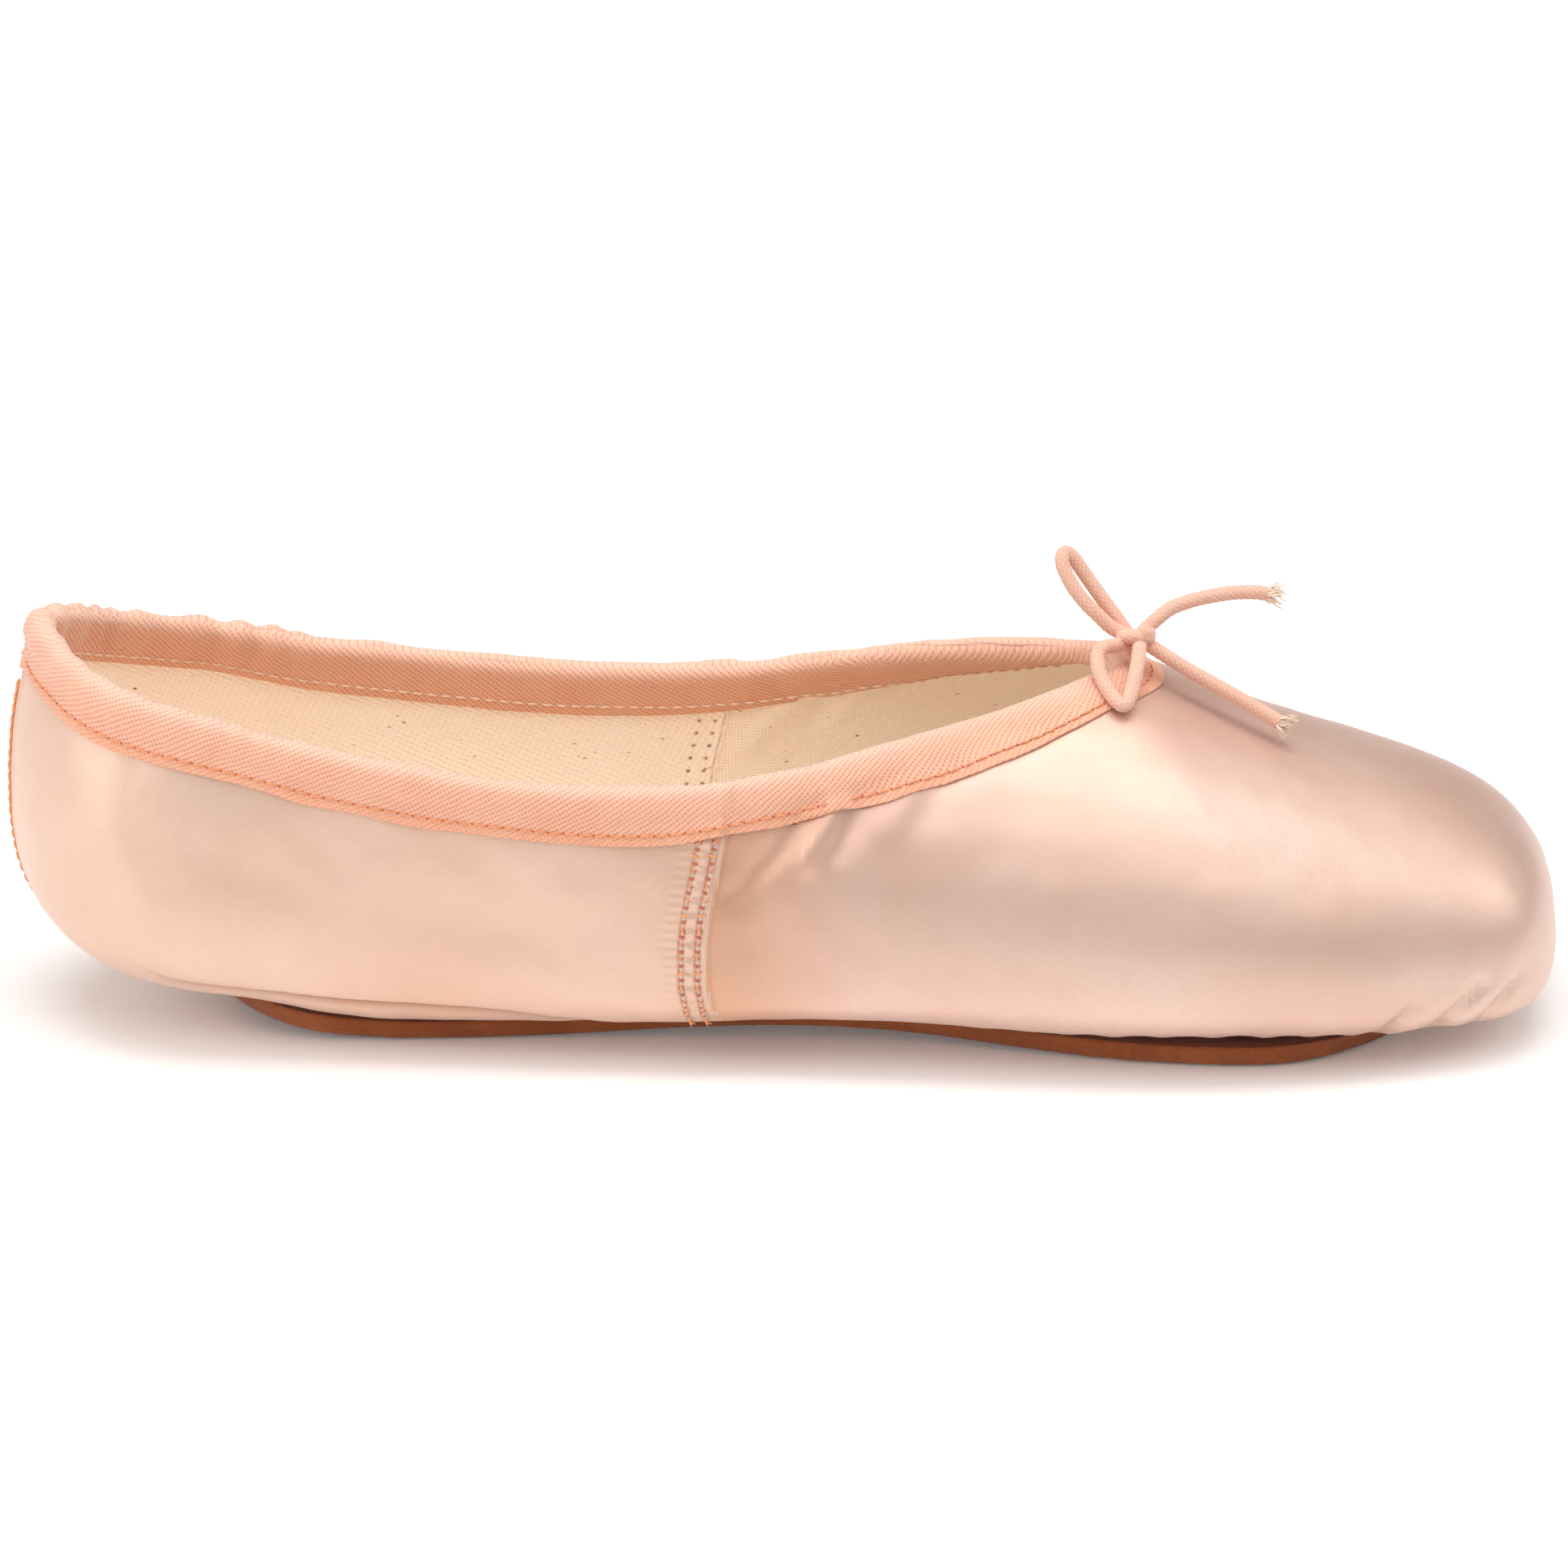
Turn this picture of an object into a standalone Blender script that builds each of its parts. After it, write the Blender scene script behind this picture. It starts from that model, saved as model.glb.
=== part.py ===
"""A ballet pointe shoe: hollow satin upper with a hardened box, leather outsole, insole, folded
twill binding round the collar and the bow of its drawstring.

Metres, +X towards the toe, +Z up, the sole's lowest face on Z = 0. The shoe is the same for either
foot, so everything but the bow is mirrored in the plane Y = 0.
"""

import math
from collections import namedtuple

import bmesh
import bpy
import numpy as np

# Driving dimensions of the upper
LENGTH = 0.230
BALL_WIDTH = 0.0785
COLLAR_WIDTH = 0.0570
THROAT_HEIGHT = 0.0522
THROAT_FROM_HEEL = 0.166
HEEL_AXIS = 0.030
QUARTER_WALL = 0.0013
BOX_WALL = 0.0024
BOX_BEGINS = 0.1520
BOX_FULL = 0.1980
QUARTER_OVERLAP = 0.0005
SEAM_FROM_HEEL = 0.1072
SEAM_BOW = 0.0034
SEAM_BOW_REACH = 0.0140
SEAM_STEP = 0.0002
HEEL_TAPE_WIDTH = 0.0040
HEEL_TAPE_PROUD = 0.0004

# Driving dimensions of the bottom and of the sole
SOLE_THICKNESS = 0.0023
SOLE_DISH = 0.0008
SOLE_CHAMFER = 0.0004
SOLE_SEAT = 0.0005
SOLE_BALL_WIDTH = 0.0575
SOLE_FROM_HEEL = 0.0310
SOLE_FROM_TIP = 0.0190
SOLE_BACK_ROUND = 0.0150
SOLE_FRONT_ROUND = 0.0230
HEEL_SPRING = 0.0030
TOE_SPRING = 0.0007
ARCH = 0.0018
HEEL_REST_FROM_SOLE_END = 0.0240
HEEL_REST_LENGTH = 0.0150
BALL_REST_LENGTH = 0.0180
LASTING_MARGIN = 0.0090
LASTING_MARGIN_AT_ENDS = 0.0100
HOLE_ROUND = 0.0130
INSOLE_THICKNESS = 0.0020
INSOLE_SHARE = 0.72
INSOLE_FROM_HEEL = 0.0118
INSOLE_FROM_TIP = 0.0200
INSOLE_FRONT_ROUND = 0.0240

# Driving dimensions of the binding and of the drawstring
BINDING_WIDTH = 0.0056
TAPE_THICKNESS = 0.0007
ROLL_RADIUS = 0.0019
ROLL_RISE = 0.0008
CORD_DIAMETER = 0.0025
KNOT_LENGTH = 0.0054
KNOT_WIDTH = 0.0056
KNOT_HEIGHT = 0.0058
GAP = 0.0003

# Sections of the last. Those of the vamp are planes across the shoe, placed by their share of the
# way from the throat to the tip, and those of the quarters by their share of the way from the heel
# to the throat. The heel's are planes that turn about the heel axis, placed by their share of the
# quarter turn from the side to the back. half_width is a share of half of BALL_WIDTH, widest_at
# and crest are heights as shares of THROAT_HEIGHT, opening is the collar's half width as a share
# of half of COLLAR_WIDTH, and low and high are the exponents of the superellipses under and over
# the widest point: 2 is an ellipse and more is squarer.
Section = namedtuple("Section", "place half_width widest_at crest opening low high")
VAMP_SECTIONS = [
    Section(1.000, 0.655, 0.275, 0.560, 0.000, 3.5, 2.2),
    Section(0.856, 0.748, 0.268, 0.620, 0.000, 3.5, 2.2),
    Section(0.713, 0.828, 0.265, 0.684, 0.000, 3.5, 2.2),
    Section(0.533, 0.908, 0.269, 0.758, 0.000, 3.4, 2.15),
    Section(0.317, 0.975, 0.280, 0.845, 0.000, 2.9, 2.1),
    Section(0.102, 1.000, 0.284, 0.954, 0.000, 2.75, 2.05),
]
QUARTER_SECTIONS = [
    Section(1.000, 0.992, 0.282, 1.000, 0.000, 2.72, 2.0),
    Section(0.942, 0.970, 0.277, 0.985, 0.410, 2.65, 2.0),
    Section(0.859, 0.932, 0.268, 0.936, 0.655, 2.5, 2.0),
    Section(0.776, 0.893, 0.255, 0.878, 0.830, 2.35, 2.0),
    Section(0.693, 0.862, 0.248, 0.820, 0.930, 2.55, 2.0),
    Section(0.610, 0.835, 0.251, 0.783, 0.985, 2.85, 2.0),
    Section(0.513, 0.800, 0.272, 0.779, 1.000, 2.75, 2.0),
    Section(0.430, 0.770, 0.297, 0.802, 0.975, 2.95, 2.0),
    Section(0.346, 0.742, 0.321, 0.841, 0.930, 3.2, 2.0),
    Section(0.263, 0.718, 0.345, 0.888, 0.860, 3.0, 2.0),
]
HEEL_SECTIONS = [
    Section(0.00, 0.700, 0.375, 0.951, 0.788, 2.7, 2.0),
    Section(0.30, 0.699, 0.428, 0.989, 0.782, 2.55, 2.0),
    Section(0.55, 0.708, 0.496, 1.034, 0.805, 2.55, 2.0),
    Section(0.80, 0.726, 0.564, 1.088, 0.845, 2.55, 2.0),
    Section(1.00, 0.738, 0.594, 1.114, 0.872, 2.55, 2.0),
]

# How the sides, the top and the bottom of the toe round off into the platform: the reach from the
# tip where it begins, and the power of the curve, where more is blunter.
Rounding = namedtuple("Rounding", "reach power")
SIDE_ROUNDING = Rounding(0.0160, 3.1)
TOP_ROUNDING = Rounding(0.0210, 2.9)
BOTTOM_ROUNDING = Rounding(0.0110, 3.2)

# The outsole's half width, as a share of half of SOLE_BALL_WIDTH, by the share of its length from
# its back end.
SoleWidth = namedtuple("SoleWidth", "place half_width")
SOLE_WIDTHS = [
    SoleWidth(-0.030, 0.560),
    SoleWidth(0.083, 0.620),
    SoleWidth(0.211, 0.610),
    SoleWidth(0.339, 0.580),
    SoleWidth(0.467, 0.590),
    SoleWidth(0.569, 0.650),
    SoleWidth(0.671, 0.810),
    SoleWidth(0.773, 0.960),
    SoleWidth(0.831, 1.000),
    SoleWidth(0.914, 0.930),
    SoleWidth(1.023, 0.760),
]

# The columns of the upper's grid: how many turn about the toe's spine, run along the side and turn
# about the heel's spine, and where those spines stand.
TOE_SPINE = THROAT_FROM_HEEL - 0.008
HEEL_SPINE = SOLE_FROM_HEEL + LASTING_MARGIN_AT_ENDS + 0.005
TOE_COLUMNS = 13
SIDE_COLUMNS = 14
HEEL_COLUMNS = 10
ROWS = 21
BINDING_ROWS = 2
TURN_WEIGHT = 0.010

# The bow, as points from the heel, to the left and up, in shares of CORD_DIAMETER from the knot.
Spot = namedtuple("Spot", "forward left up")
KNOT_SPOT = Spot(0.1679, 0.0004, 0.0562)
LOOP_FAR = [
    Spot(-1.20, 1.04, 1.00),
    Spot(-1.80, 1.32, 1.80),
    Spot(-2.36, 1.60, 2.60),
    Spot(-3.24, 2.04, 3.96),
    Spot(-3.84, 2.08, 4.68),
    Spot(-4.44, 1.84, 4.84),
    Spot(-4.64, 1.44, 4.32),
    Spot(-4.24, 1.04, 3.56),
    Spot(-3.48, 0.68, 2.64),
    Spot(-2.68, 0.44, 1.72),
    Spot(-1.96, 0.24, 1.00),
    Spot(-1.32, 0.16, 0.52),
]
LOOP_NEAR = [
    Spot(-1.08, -1.08, 0.12),
    Spot(-1.92, -1.72, 0.04),
    Spot(-2.32, -2.64, -0.08),
    Spot(-2.40, -3.64, -0.28),
    Spot(-2.28, -4.64, -0.60),
    Spot(-1.88, -5.56, -1.16),
    Spot(-1.24, -6.08, -1.72),
    Spot(-0.56, -5.92, -1.88),
    Spot(-0.12, -5.20, -1.64),
    Spot(-0.08, -4.12, -1.12),
    Spot(-0.04, -3.04, -0.68),
    Spot(0.00, -1.96, -0.48),
]
END_HIGH = [
    Spot(1.12, 0.40, 0.80),
    Spot(2.24, 0.96, 1.72),
    Spot(3.36, 1.24, 2.08),
    Spot(5.60, 1.84, 2.36),
    Spot(7.24, 2.32, 2.12),
    Spot(8.36, 2.64, 1.60),
]
END_LOW = [
    Spot(1.24, -0.76, -0.16),
    Spot(2.60, -1.16, -1.00),
    Spot(3.80, -1.56, -1.72),
    Spot(5.08, -1.96, -2.44),
    Spot(7.24, -2.76, -3.76),
    Spot(8.68, -3.36, -4.36),
]

SOLE_BACK = SOLE_FROM_HEEL
SOLE_FRONT = LENGTH - SOLE_FROM_TIP
HEEL_REST = (SOLE_BACK + HEEL_REST_FROM_SOLE_END, SOLE_BACK + HEEL_REST_FROM_SOLE_END + HEEL_REST_LENGTH)
BALL_REST = (THROAT_FROM_HEEL, THROAT_FROM_HEEL + BALL_REST_LENGTH)
HOLE_BACK = SOLE_BACK + LASTING_MARGIN_AT_ENDS
HOLE_FRONT = SOLE_FRONT - LASTING_MARGIN_AT_ENDS
INSOLE_BACK = INSOLE_FROM_HEEL
INSOLE_FRONT = LENGTH - INSOLE_FROM_TIP
STRAIGHT = LENGTH - HEEL_AXIS
HEEL_TURN = HEEL_AXIS * math.pi / 2
FAR = LENGTH
RAYS = 220


def spline(knots, values, level_end=False):
    """A curve with a smooth second derivative through the values, free or level at its last end."""
    t = np.asarray(knots, float)
    v = np.asarray(values, float)
    n = len(t)
    h = np.diff(t)
    rise = np.diff(v) / h
    a = np.zeros((n, n))
    b = np.zeros(n)
    a[0, 0] = 1.0
    for i in range(1, n - 1):
        a[i, i - 1 : i + 2] = h[i - 1], 2 * (h[i - 1] + h[i]), h[i]
        b[i] = 6 * (rise[i] - rise[i - 1])
    if level_end:
        a[-1, -2:] = h[-1], 2 * h[-1]
        b[-1] = -6 * rise[-1]
    else:
        a[-1, -1] = 1.0
    m = np.linalg.solve(a, b)

    def at(x):
        x = np.clip(x, t[0], t[-1])
        i = np.clip(np.searchsorted(t, x, side="right") - 1, 0, n - 2)
        left, right = x - t[i], t[i + 1] - x
        cubic = (m[i] * right**3 + m[i + 1] * left**3) / (6 * h[i])
        line = (v[i] / h[i] - m[i] * h[i] / 6) * right + (v[i + 1] / h[i] - m[i + 1] * h[i] / 6) * left
        return cubic + line

    return at


def ease(share):
    """0 to 1 with level ends."""
    share = np.clip(share, 0.0, 1.0)
    return share * share * (3 - 2 * share)


def path_of_turn(share):
    """The path coordinate of a heel section, by its share of the quarter turn."""
    return STRAIGHT + share * HEEL_TURN


def placed_sections():
    """Each section with its path coordinate, from the tip to the back of the heel."""
    vamp = LENGTH - THROAT_FROM_HEEL
    placed = [(vamp * (1 - s.place), s) for s in VAMP_SECTIONS]
    placed += [(LENGTH - THROAT_FROM_HEEL * s.place, s) for s in QUARTER_SECTIONS]
    return placed + [(path_of_turn(s.place), s) for s in HEEL_SECTIONS]


def section_spline(column, scale=1.0):
    knots, sections = zip(*placed_sections())
    return spline(knots, np.array([getattr(s, column) for s in sections]) * scale, level_end=True)


def opening_spline():
    """The square of the collar's half width, which runs smoothly into the rounded throat."""
    rows = [(path, s.opening) for path, s in placed_sections() if path > LENGTH - THROAT_FROM_HEEL]
    knots, values = zip((LENGTH - THROAT_FROM_HEEL, 0.0), *rows)
    return spline(knots, (np.array(values) * COLLAR_WIDTH / 2) ** 2, level_end=True)


width_at = section_spline("half_width", BALL_WIDTH / 2)
middle_at = section_spline("widest_at", THROAT_HEIGHT)
crest_at = section_spline("crest", THROAT_HEIGHT)
low_at = section_spline("low")
high_at = section_spline("high")
opening_squared_at = opening_spline()
sole_width_at = spline(
    [SOLE_BACK + row.place * (SOLE_FRONT - SOLE_BACK) for row in SOLE_WIDTHS],
    [row.half_width * SOLE_BALL_WIDTH / 2 for row in SOLE_WIDTHS],
)


def opening_at(path):
    """The collar's half width, 0 in front of the throat."""
    is_open = np.asarray(path) > LENGTH - THROAT_FROM_HEEL
    return np.sqrt(np.where(is_open, np.maximum(opening_squared_at(path), 0.0), 0.0))


def left_by(rounding, from_heel):
    """What a rounding leaves of the section: 1 before its reach, 0 at the tip."""
    share = np.clip((from_heel - LENGTH + rounding.reach) / rounding.reach, 0.0, 1.0)
    return (1 - share**rounding.power) ** (1 / rounding.power)


def sole_lift(from_heel):
    """How high the sole's underside is over the floor."""
    heel = HEEL_SPRING * ease((HEEL_REST[0] - from_heel) / (HEEL_REST[0] - HEEL_AXIS))
    arch_share = np.clip((from_heel - HEEL_REST[1]) / (BALL_REST[0] - HEEL_REST[1]), 0.0, 1.0)
    arch = ARCH * np.sin(math.pi * arch_share) ** 2
    toe = TOE_SPRING * np.clip((from_heel - BALL_REST[1]) / (LENGTH - BALL_REST[1]), 0.0, 1.0) ** 1.4
    return heel + arch + toe


Form = namedtuple("Form", "width middle under full low high")


def form_at(path):
    """The numbers of the section at a path coordinate."""
    from_heel = LENGTH - np.minimum(path, STRAIGHT)
    width = np.maximum(width_at(path) * left_by(SIDE_ROUNDING, from_heel), 1e-6)
    middle = middle_at(path)
    depth = middle - sole_lift(from_heel) - SOLE_THICKNESS - SOLE_SEAT
    under = middle - np.maximum(depth * left_by(BOTTOM_ROUNDING, from_heel), 1e-6)
    high = high_at(path)
    share = np.minimum(opening_at(path) / width, 0.999)
    full = (crest_at(path) - middle) / (1 - share**high) ** (1 / high)
    full = np.maximum(full * left_by(TOP_ROUNDING, from_heel), 1e-6)
    return Form(width, middle, under, full, low_at(path), high)


def plan_place(from_heel, across):
    """The path coordinate and the reach from the middle of positions on the floor plan."""
    behind = HEEL_AXIS - from_heel
    across = np.abs(across)
    turned = path_of_turn(np.arctan2(behind, across) / (math.pi / 2))
    path = np.where(behind > 0, turned, LENGTH - from_heel)
    return path, np.where(behind > 0, np.hypot(behind, across), across)


def is_outside(from_heel, across, height):
    path, reach = plan_place(from_heel, across)
    form = form_at(path)
    side = reach / form.width
    rise = np.abs(height - form.middle)
    lower = side**form.low + (rise / (form.middle - form.under)) ** form.low
    upper = side**form.high + (rise / form.full) ** form.high
    return (np.where(height < form.middle, lower, upper) > 1) | (from_heel > LENGTH)


def is_past_collar(from_heel, across):
    path, reach = plan_place(from_heel, across)
    return reach >= opening_at(path)


def hole_half_width(from_heel):
    """Half width of the opening under the foot, which the outsole closes."""
    ends = np.minimum(from_heel - HOLE_BACK, HOLE_FRONT - from_heel)
    ends = np.clip(ends / HOLE_ROUND, 0.0, 1.0)
    return (sole_width_at(from_heel) - LASTING_MARGIN) * np.sqrt(1 - (1 - ends) ** 2)


def is_past_hole(from_heel, across):
    return np.abs(across) >= hole_half_width(from_heel)


def where_it_turns(test, most):
    """The distances at which a test of distances first fails, by halving."""
    low, high = np.zeros_like(most), most.copy()
    for _ in range(34):
        half = (low + high) / 2
        past = test(half)
        low, high = np.where(past, low, half), np.where(past, half, high)
    return (low + high) / 2


# A column of the grid: the foot of its spine, the direction of its plane from the spine, 0 towards
# the toe and a half turn towards the heel, and how far its outside stands proud.
Column = namedtuple("Column", "from_heel across turn proud")


def column_curve(column):
    """Fine points of the surface in a column's plane, from the hole's edge to the collar's."""
    ahead, aside = math.cos(column.turn), math.sin(column.turn)
    path, _ = plan_place(column.from_heel, column.across)
    centre = float(middle_at(path)) + 0.2 * float(crest_at(path) - middle_at(path))

    def at(reach):
        return column.from_heel + reach * ahead, column.across + reach * aside

    tilt = np.linspace(-math.pi / 2, math.pi / 2, RAYS)
    flat, steep = np.cos(tilt), np.sin(tilt)
    away = where_it_turns(
        lambda t: is_outside(*at(t * flat), centre + t * steep), np.full(RAYS, FAR)
    )
    reach, height = away * flat, centre + away * steep
    one = np.array([FAR])
    collar = float(where_it_turns(lambda t: is_past_collar(*at(t)), one)[0])
    hole = float(where_it_turns(lambda t: is_past_hole(*at(t)), one)[0])
    widest = int(np.argmax(reach))
    low_z = np.interp(hole, reach[: widest + 1], height[: widest + 1])
    high_z = np.interp(collar, reach[widest:][::-1], height[widest:][::-1])
    kept = (reach > np.where(np.arange(RAYS) < widest, hole, collar) + 1e-5).nonzero()[0]
    reach = np.concatenate([[hole], reach[kept], [collar]])
    height = np.concatenate([[low_z], height[kept], [high_z]])
    x, y = at(reach)
    return np.stack([x - LENGTH / 2, np.broadcast_to(y, x.shape), height], axis=1)


def sampled(curve, band):
    """ROWS + 1 points of a fine curve, collar first. The first rows span the binding's band."""
    curve = curve[::-1]
    steps = np.diff(curve, axis=0)
    lengths = np.linalg.norm(steps, axis=1)
    along = np.concatenate([[0], np.cumsum(lengths)])
    ways = steps / np.maximum(lengths, 1e-9)[:, None]
    bends = np.arccos(np.clip((ways[1:] * ways[:-1]).sum(axis=1), -1, 1))
    bends = np.concatenate([[0], bends, [0]])
    weight = along + TURN_WEIGHT * np.cumsum(bends)
    start = np.interp(band, along, weight)
    rest = np.interp(np.linspace(start, weight[-1], ROWS - BINDING_ROWS + 1)[1:], weight, along)
    at = np.concatenate([np.linspace(0, band, BINDING_ROWS + 1), rest])
    return np.stack([np.interp(at, along, curve[:, k]) for k in range(3)], axis=1)


def half_columns():
    """The columns of the left half, from the toe to the heel."""
    outline = np.radians(np.linspace(0, 90, 60))
    to_tip = LENGTH - TOE_SPINE
    reach = to_tip + (BALL_WIDTH / 2 - to_tip) * ease(outline / (math.pi / 2))
    along = np.concatenate([[0], np.cumsum(reach[1:] * np.diff(outline))])
    toe_turns = np.interp(np.linspace(0, along[-1], TOE_COLUMNS + 1), along, outline)
    columns = [Column(TOE_SPINE, 0.0, turn, 0.0) for turn in toe_turns]
    seams = [SEAM_FROM_HEEL + SEAM_STEP, SEAM_FROM_HEEL - SEAM_STEP]
    side = np.linspace(TOE_SPINE, HEEL_SPINE, SIDE_COLUMNS + 1)
    near_seam = int(np.argmin(np.abs(side - SEAM_FROM_HEEL)))
    side = np.concatenate([side[1:near_seam], seams, side[near_seam + 1 :]])
    columns += [
        Column(x, 0.0, math.pi / 2, 0.0 if x > SEAM_FROM_HEEL else QUARTER_OVERLAP) for x in side
    ]
    heel_turns = np.linspace(math.pi / 2, math.radians(172), HEEL_COLUMNS)[1:]
    columns += [Column(HEEL_SPINE, 0.0, turn, QUARTER_OVERLAP) for turn in heel_turns]
    tape, step = (size / HEEL_SPINE for size in (HEEL_TAPE_WIDTH / 2, SEAM_STEP))
    raised = QUARTER_OVERLAP + HEEL_TAPE_PROUD
    columns.append(Column(HEEL_SPINE, 0.0, math.pi - tape - step, QUARTER_OVERLAP))
    columns.append(Column(HEEL_SPINE, 0.0, math.pi - tape + step, raised))
    columns.append(Column(HEEL_SPINE, 0.0, math.pi, raised))
    return columns


def bowed(points):
    """Moves the side seam and its neighbours towards the heel, most at half their height."""
    share = np.linspace(0, 1, points.shape[1])
    near = np.exp(-(((points[:, :, 0] + LENGTH / 2 - SEAM_FROM_HEEL) / SEAM_BOW_REACH) ** 2))
    moved = points.copy()
    moved[:, :, 0] -= SEAM_BOW * near * np.sin(math.pi * share) ** 0.8
    return moved


def base_grid():
    """The outside of the wall as a grid, column by column once round, and each column's proud."""
    columns = half_columns()
    fine = [column_curve(column) for column in columns]
    rims = np.array([curve[-1] for curve in fine])
    along = np.gradient(rims, axis=0)
    along[0] = along[-1] = (0, 1, 0)
    along /= np.linalg.norm(along, axis=1)[:, None]
    half = []
    for curve, way in zip(fine, along):
        down = curve[-4] - curve[-1]
        down /= np.linalg.norm(down)
        crossing = math.sqrt(max(1 - float(down @ way) ** 2, 0.5))
        half.append(sampled(curve, BINDING_WIDTH / crossing))
    left = bowed(np.array(half))
    right = left[-2:0:-1] * (1, -1, 1)
    proud = np.array([column.proud for column in columns])
    return np.concatenate([left, right]), np.concatenate([proud, proud[-2:0:-1]])


def grid_normals(grid):
    """Outward unit normals of the grid's points."""
    around = np.roll(grid, -1, axis=0) - np.roll(grid, 1, axis=0)
    along = np.gradient(grid, axis=1)
    normals = np.cross(around, along)
    normals /= np.linalg.norm(normals, axis=2)[:, :, None]
    outward = (normals[:, :, 1] * grid[:, :, 1]).sum()
    return normals * np.sign(outward)


def wall_at(from_heel):
    """The wall's thickness, thin at the quarters and thick in the box."""
    return QUARTER_WALL + (BOX_WALL - QUARTER_WALL) * ease((from_heel - BOX_BEGINS) / (BOX_FULL - BOX_BEGINS))


def wall_of(grid):
    return wall_at(grid[:, :, 0] + LENGTH / 2)


def add(name, points, faces, shade, sharp=40):
    """One named solid with its material, shaded smooth but for its real edges."""
    mesh = bpy.data.meshes.new(name)
    mesh.from_pydata([tuple(p) for p in points], [], faces)
    work = bmesh.new()
    work.from_mesh(mesh)
    bmesh.ops.recalc_face_normals(work, faces=work.faces)
    work.to_mesh(mesh)
    work.free()
    made = bpy.data.objects.new(name, mesh)
    bpy.context.scene.collection.objects.link(made)
    mesh.materials.append(shade)
    mesh.shade_smooth()
    mesh.set_sharp_from_angle(angle=math.radians(sharp))
    return made


def material(name, colour, roughness):
    made = bpy.data.materials.new(name)
    made.use_nodes = True
    shader = made.node_tree.nodes["Principled BSDF"]
    shader.inputs["Base Color"].default_value = (*colour, 1.0)
    shader.inputs["Roughness"].default_value = roughness
    shader.inputs["Metallic"].default_value = 0.0
    return made


def ring_faces(rings, count):
    """The faces between rings of count points each, where the last ring joins the first."""
    faces = []
    for i in range(rings):
        after = (i + 1) % rings
        for k in range(count):
            beside = (k + 1) % count
            faces.append([i * count + k, i * count + beside, after * count + beside, after * count + k])
    return faces


def build_upper(grid, normals, proud, shade):
    """Each column's ring runs down the outside of the wall and back up the inside.

    What stands proud of the sides ends where the wall turns under the foot."""
    from_hole = np.arange(ROWS, -1, -1)
    fading = proud[:, None] * ease(1 + 1.15 * normals[:, :, 2]) * ease(from_hole / 2 - 1)
    outside = grid + normals * fading[:, :, None]
    inside = grid - normals * wall_of(grid)[:, :, None]
    rings = np.concatenate([outside, inside[:, ::-1]], axis=1)
    count = rings.shape[1]
    return add("upper", rings.reshape(-1, 3), ring_faces(len(rings), count), shade)


def build_binding(grid, normals, proud, shade):
    """The tape runs under its roll, down the outside and the inside of the collar's edge."""
    wall = wall_of(grid)
    rim, half, low = 0, BINDING_ROWS // 2, BINDING_ROWS
    up = grid[:, 0] - grid[:, 1]
    up -= normals[:, 0] * (up * normals[:, 0]).sum(axis=1)[:, None]
    up /= np.linalg.norm(up, axis=1)[:, None]

    def out(row, away):
        return grid[:, row] + normals[:, row] * (proud + GAP + away)[:, None]

    def back(row, away):
        return grid[:, row] - normals[:, row] * (wall[:, row] + GAP + away)[:, None]

    zero = np.zeros(len(grid))
    tape = zero + TAPE_THICKNESS
    ring = [out(low, zero), out(low, tape), out(half, tape * 1.2)]
    middle = grid[:, rim] + up * ROLL_RISE + normals[:, rim] * ((proud - wall[:, rim]) / 2)[:, None]
    radius = ROLL_RADIUS + proud / 2
    for turn in np.radians(np.linspace(-12, 192, 8)):
        spread = normals[:, rim] * math.cos(turn) + up * math.sin(turn)
        ring.append(middle + spread * radius[:, None])
    ring += [back(half, tape * 1.2), back(low, tape), back(low, zero), back(half, zero)]
    ring += [back(rim, zero) + up * GAP, out(rim, zero) + up * GAP, out(half, zero)]
    rings = np.stack(ring, axis=1)
    return add("binding", rings.reshape(-1, 3), ring_faces(len(rings), len(ring)), shade)


def plate_stations(back, front, back_round, front_round, fixed, spacing):
    """Lengthwise stations of a plate, closer at its two round ends."""
    turns = np.linspace(math.radians(14), math.pi / 2, 6)
    ends = [back + back_round * (1 - math.cos(a)) for a in turns]
    ends += [front - front_round * (1 - math.cos(a)) for a in turns]
    marks = sorted(ends + list(fixed))
    filled = []
    for a, b in zip(marks, marks[1:]):
        pieces = max(1, round((b - a) / spacing))
        filled += [a + (b - a) * i / pieces for i in range(pieces)]
    return filled + [marks[-1]]


def loft(name, rings, shade):
    """A closed solid through rings of points, its two ends filled."""
    count = len(rings[0])
    points = [p for ring in rings for p in ring]
    faces = [list(range(count)), [len(points) - count + k for k in range(count)]]
    faces += ring_faces(len(rings), count)[: -count]
    return add(name, points, faces, shade)


def bed_rise(from_heel, across):
    """How far the upper's underside has risen from its middle at a distance across."""
    path, reach = plan_place(from_heel, across)
    form = form_at(path)
    share = np.minimum(reach / form.width, 1.0)
    return form.under, (form.middle - form.under) * (1 - (1 - share**form.low) ** (1 / form.low))


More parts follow.
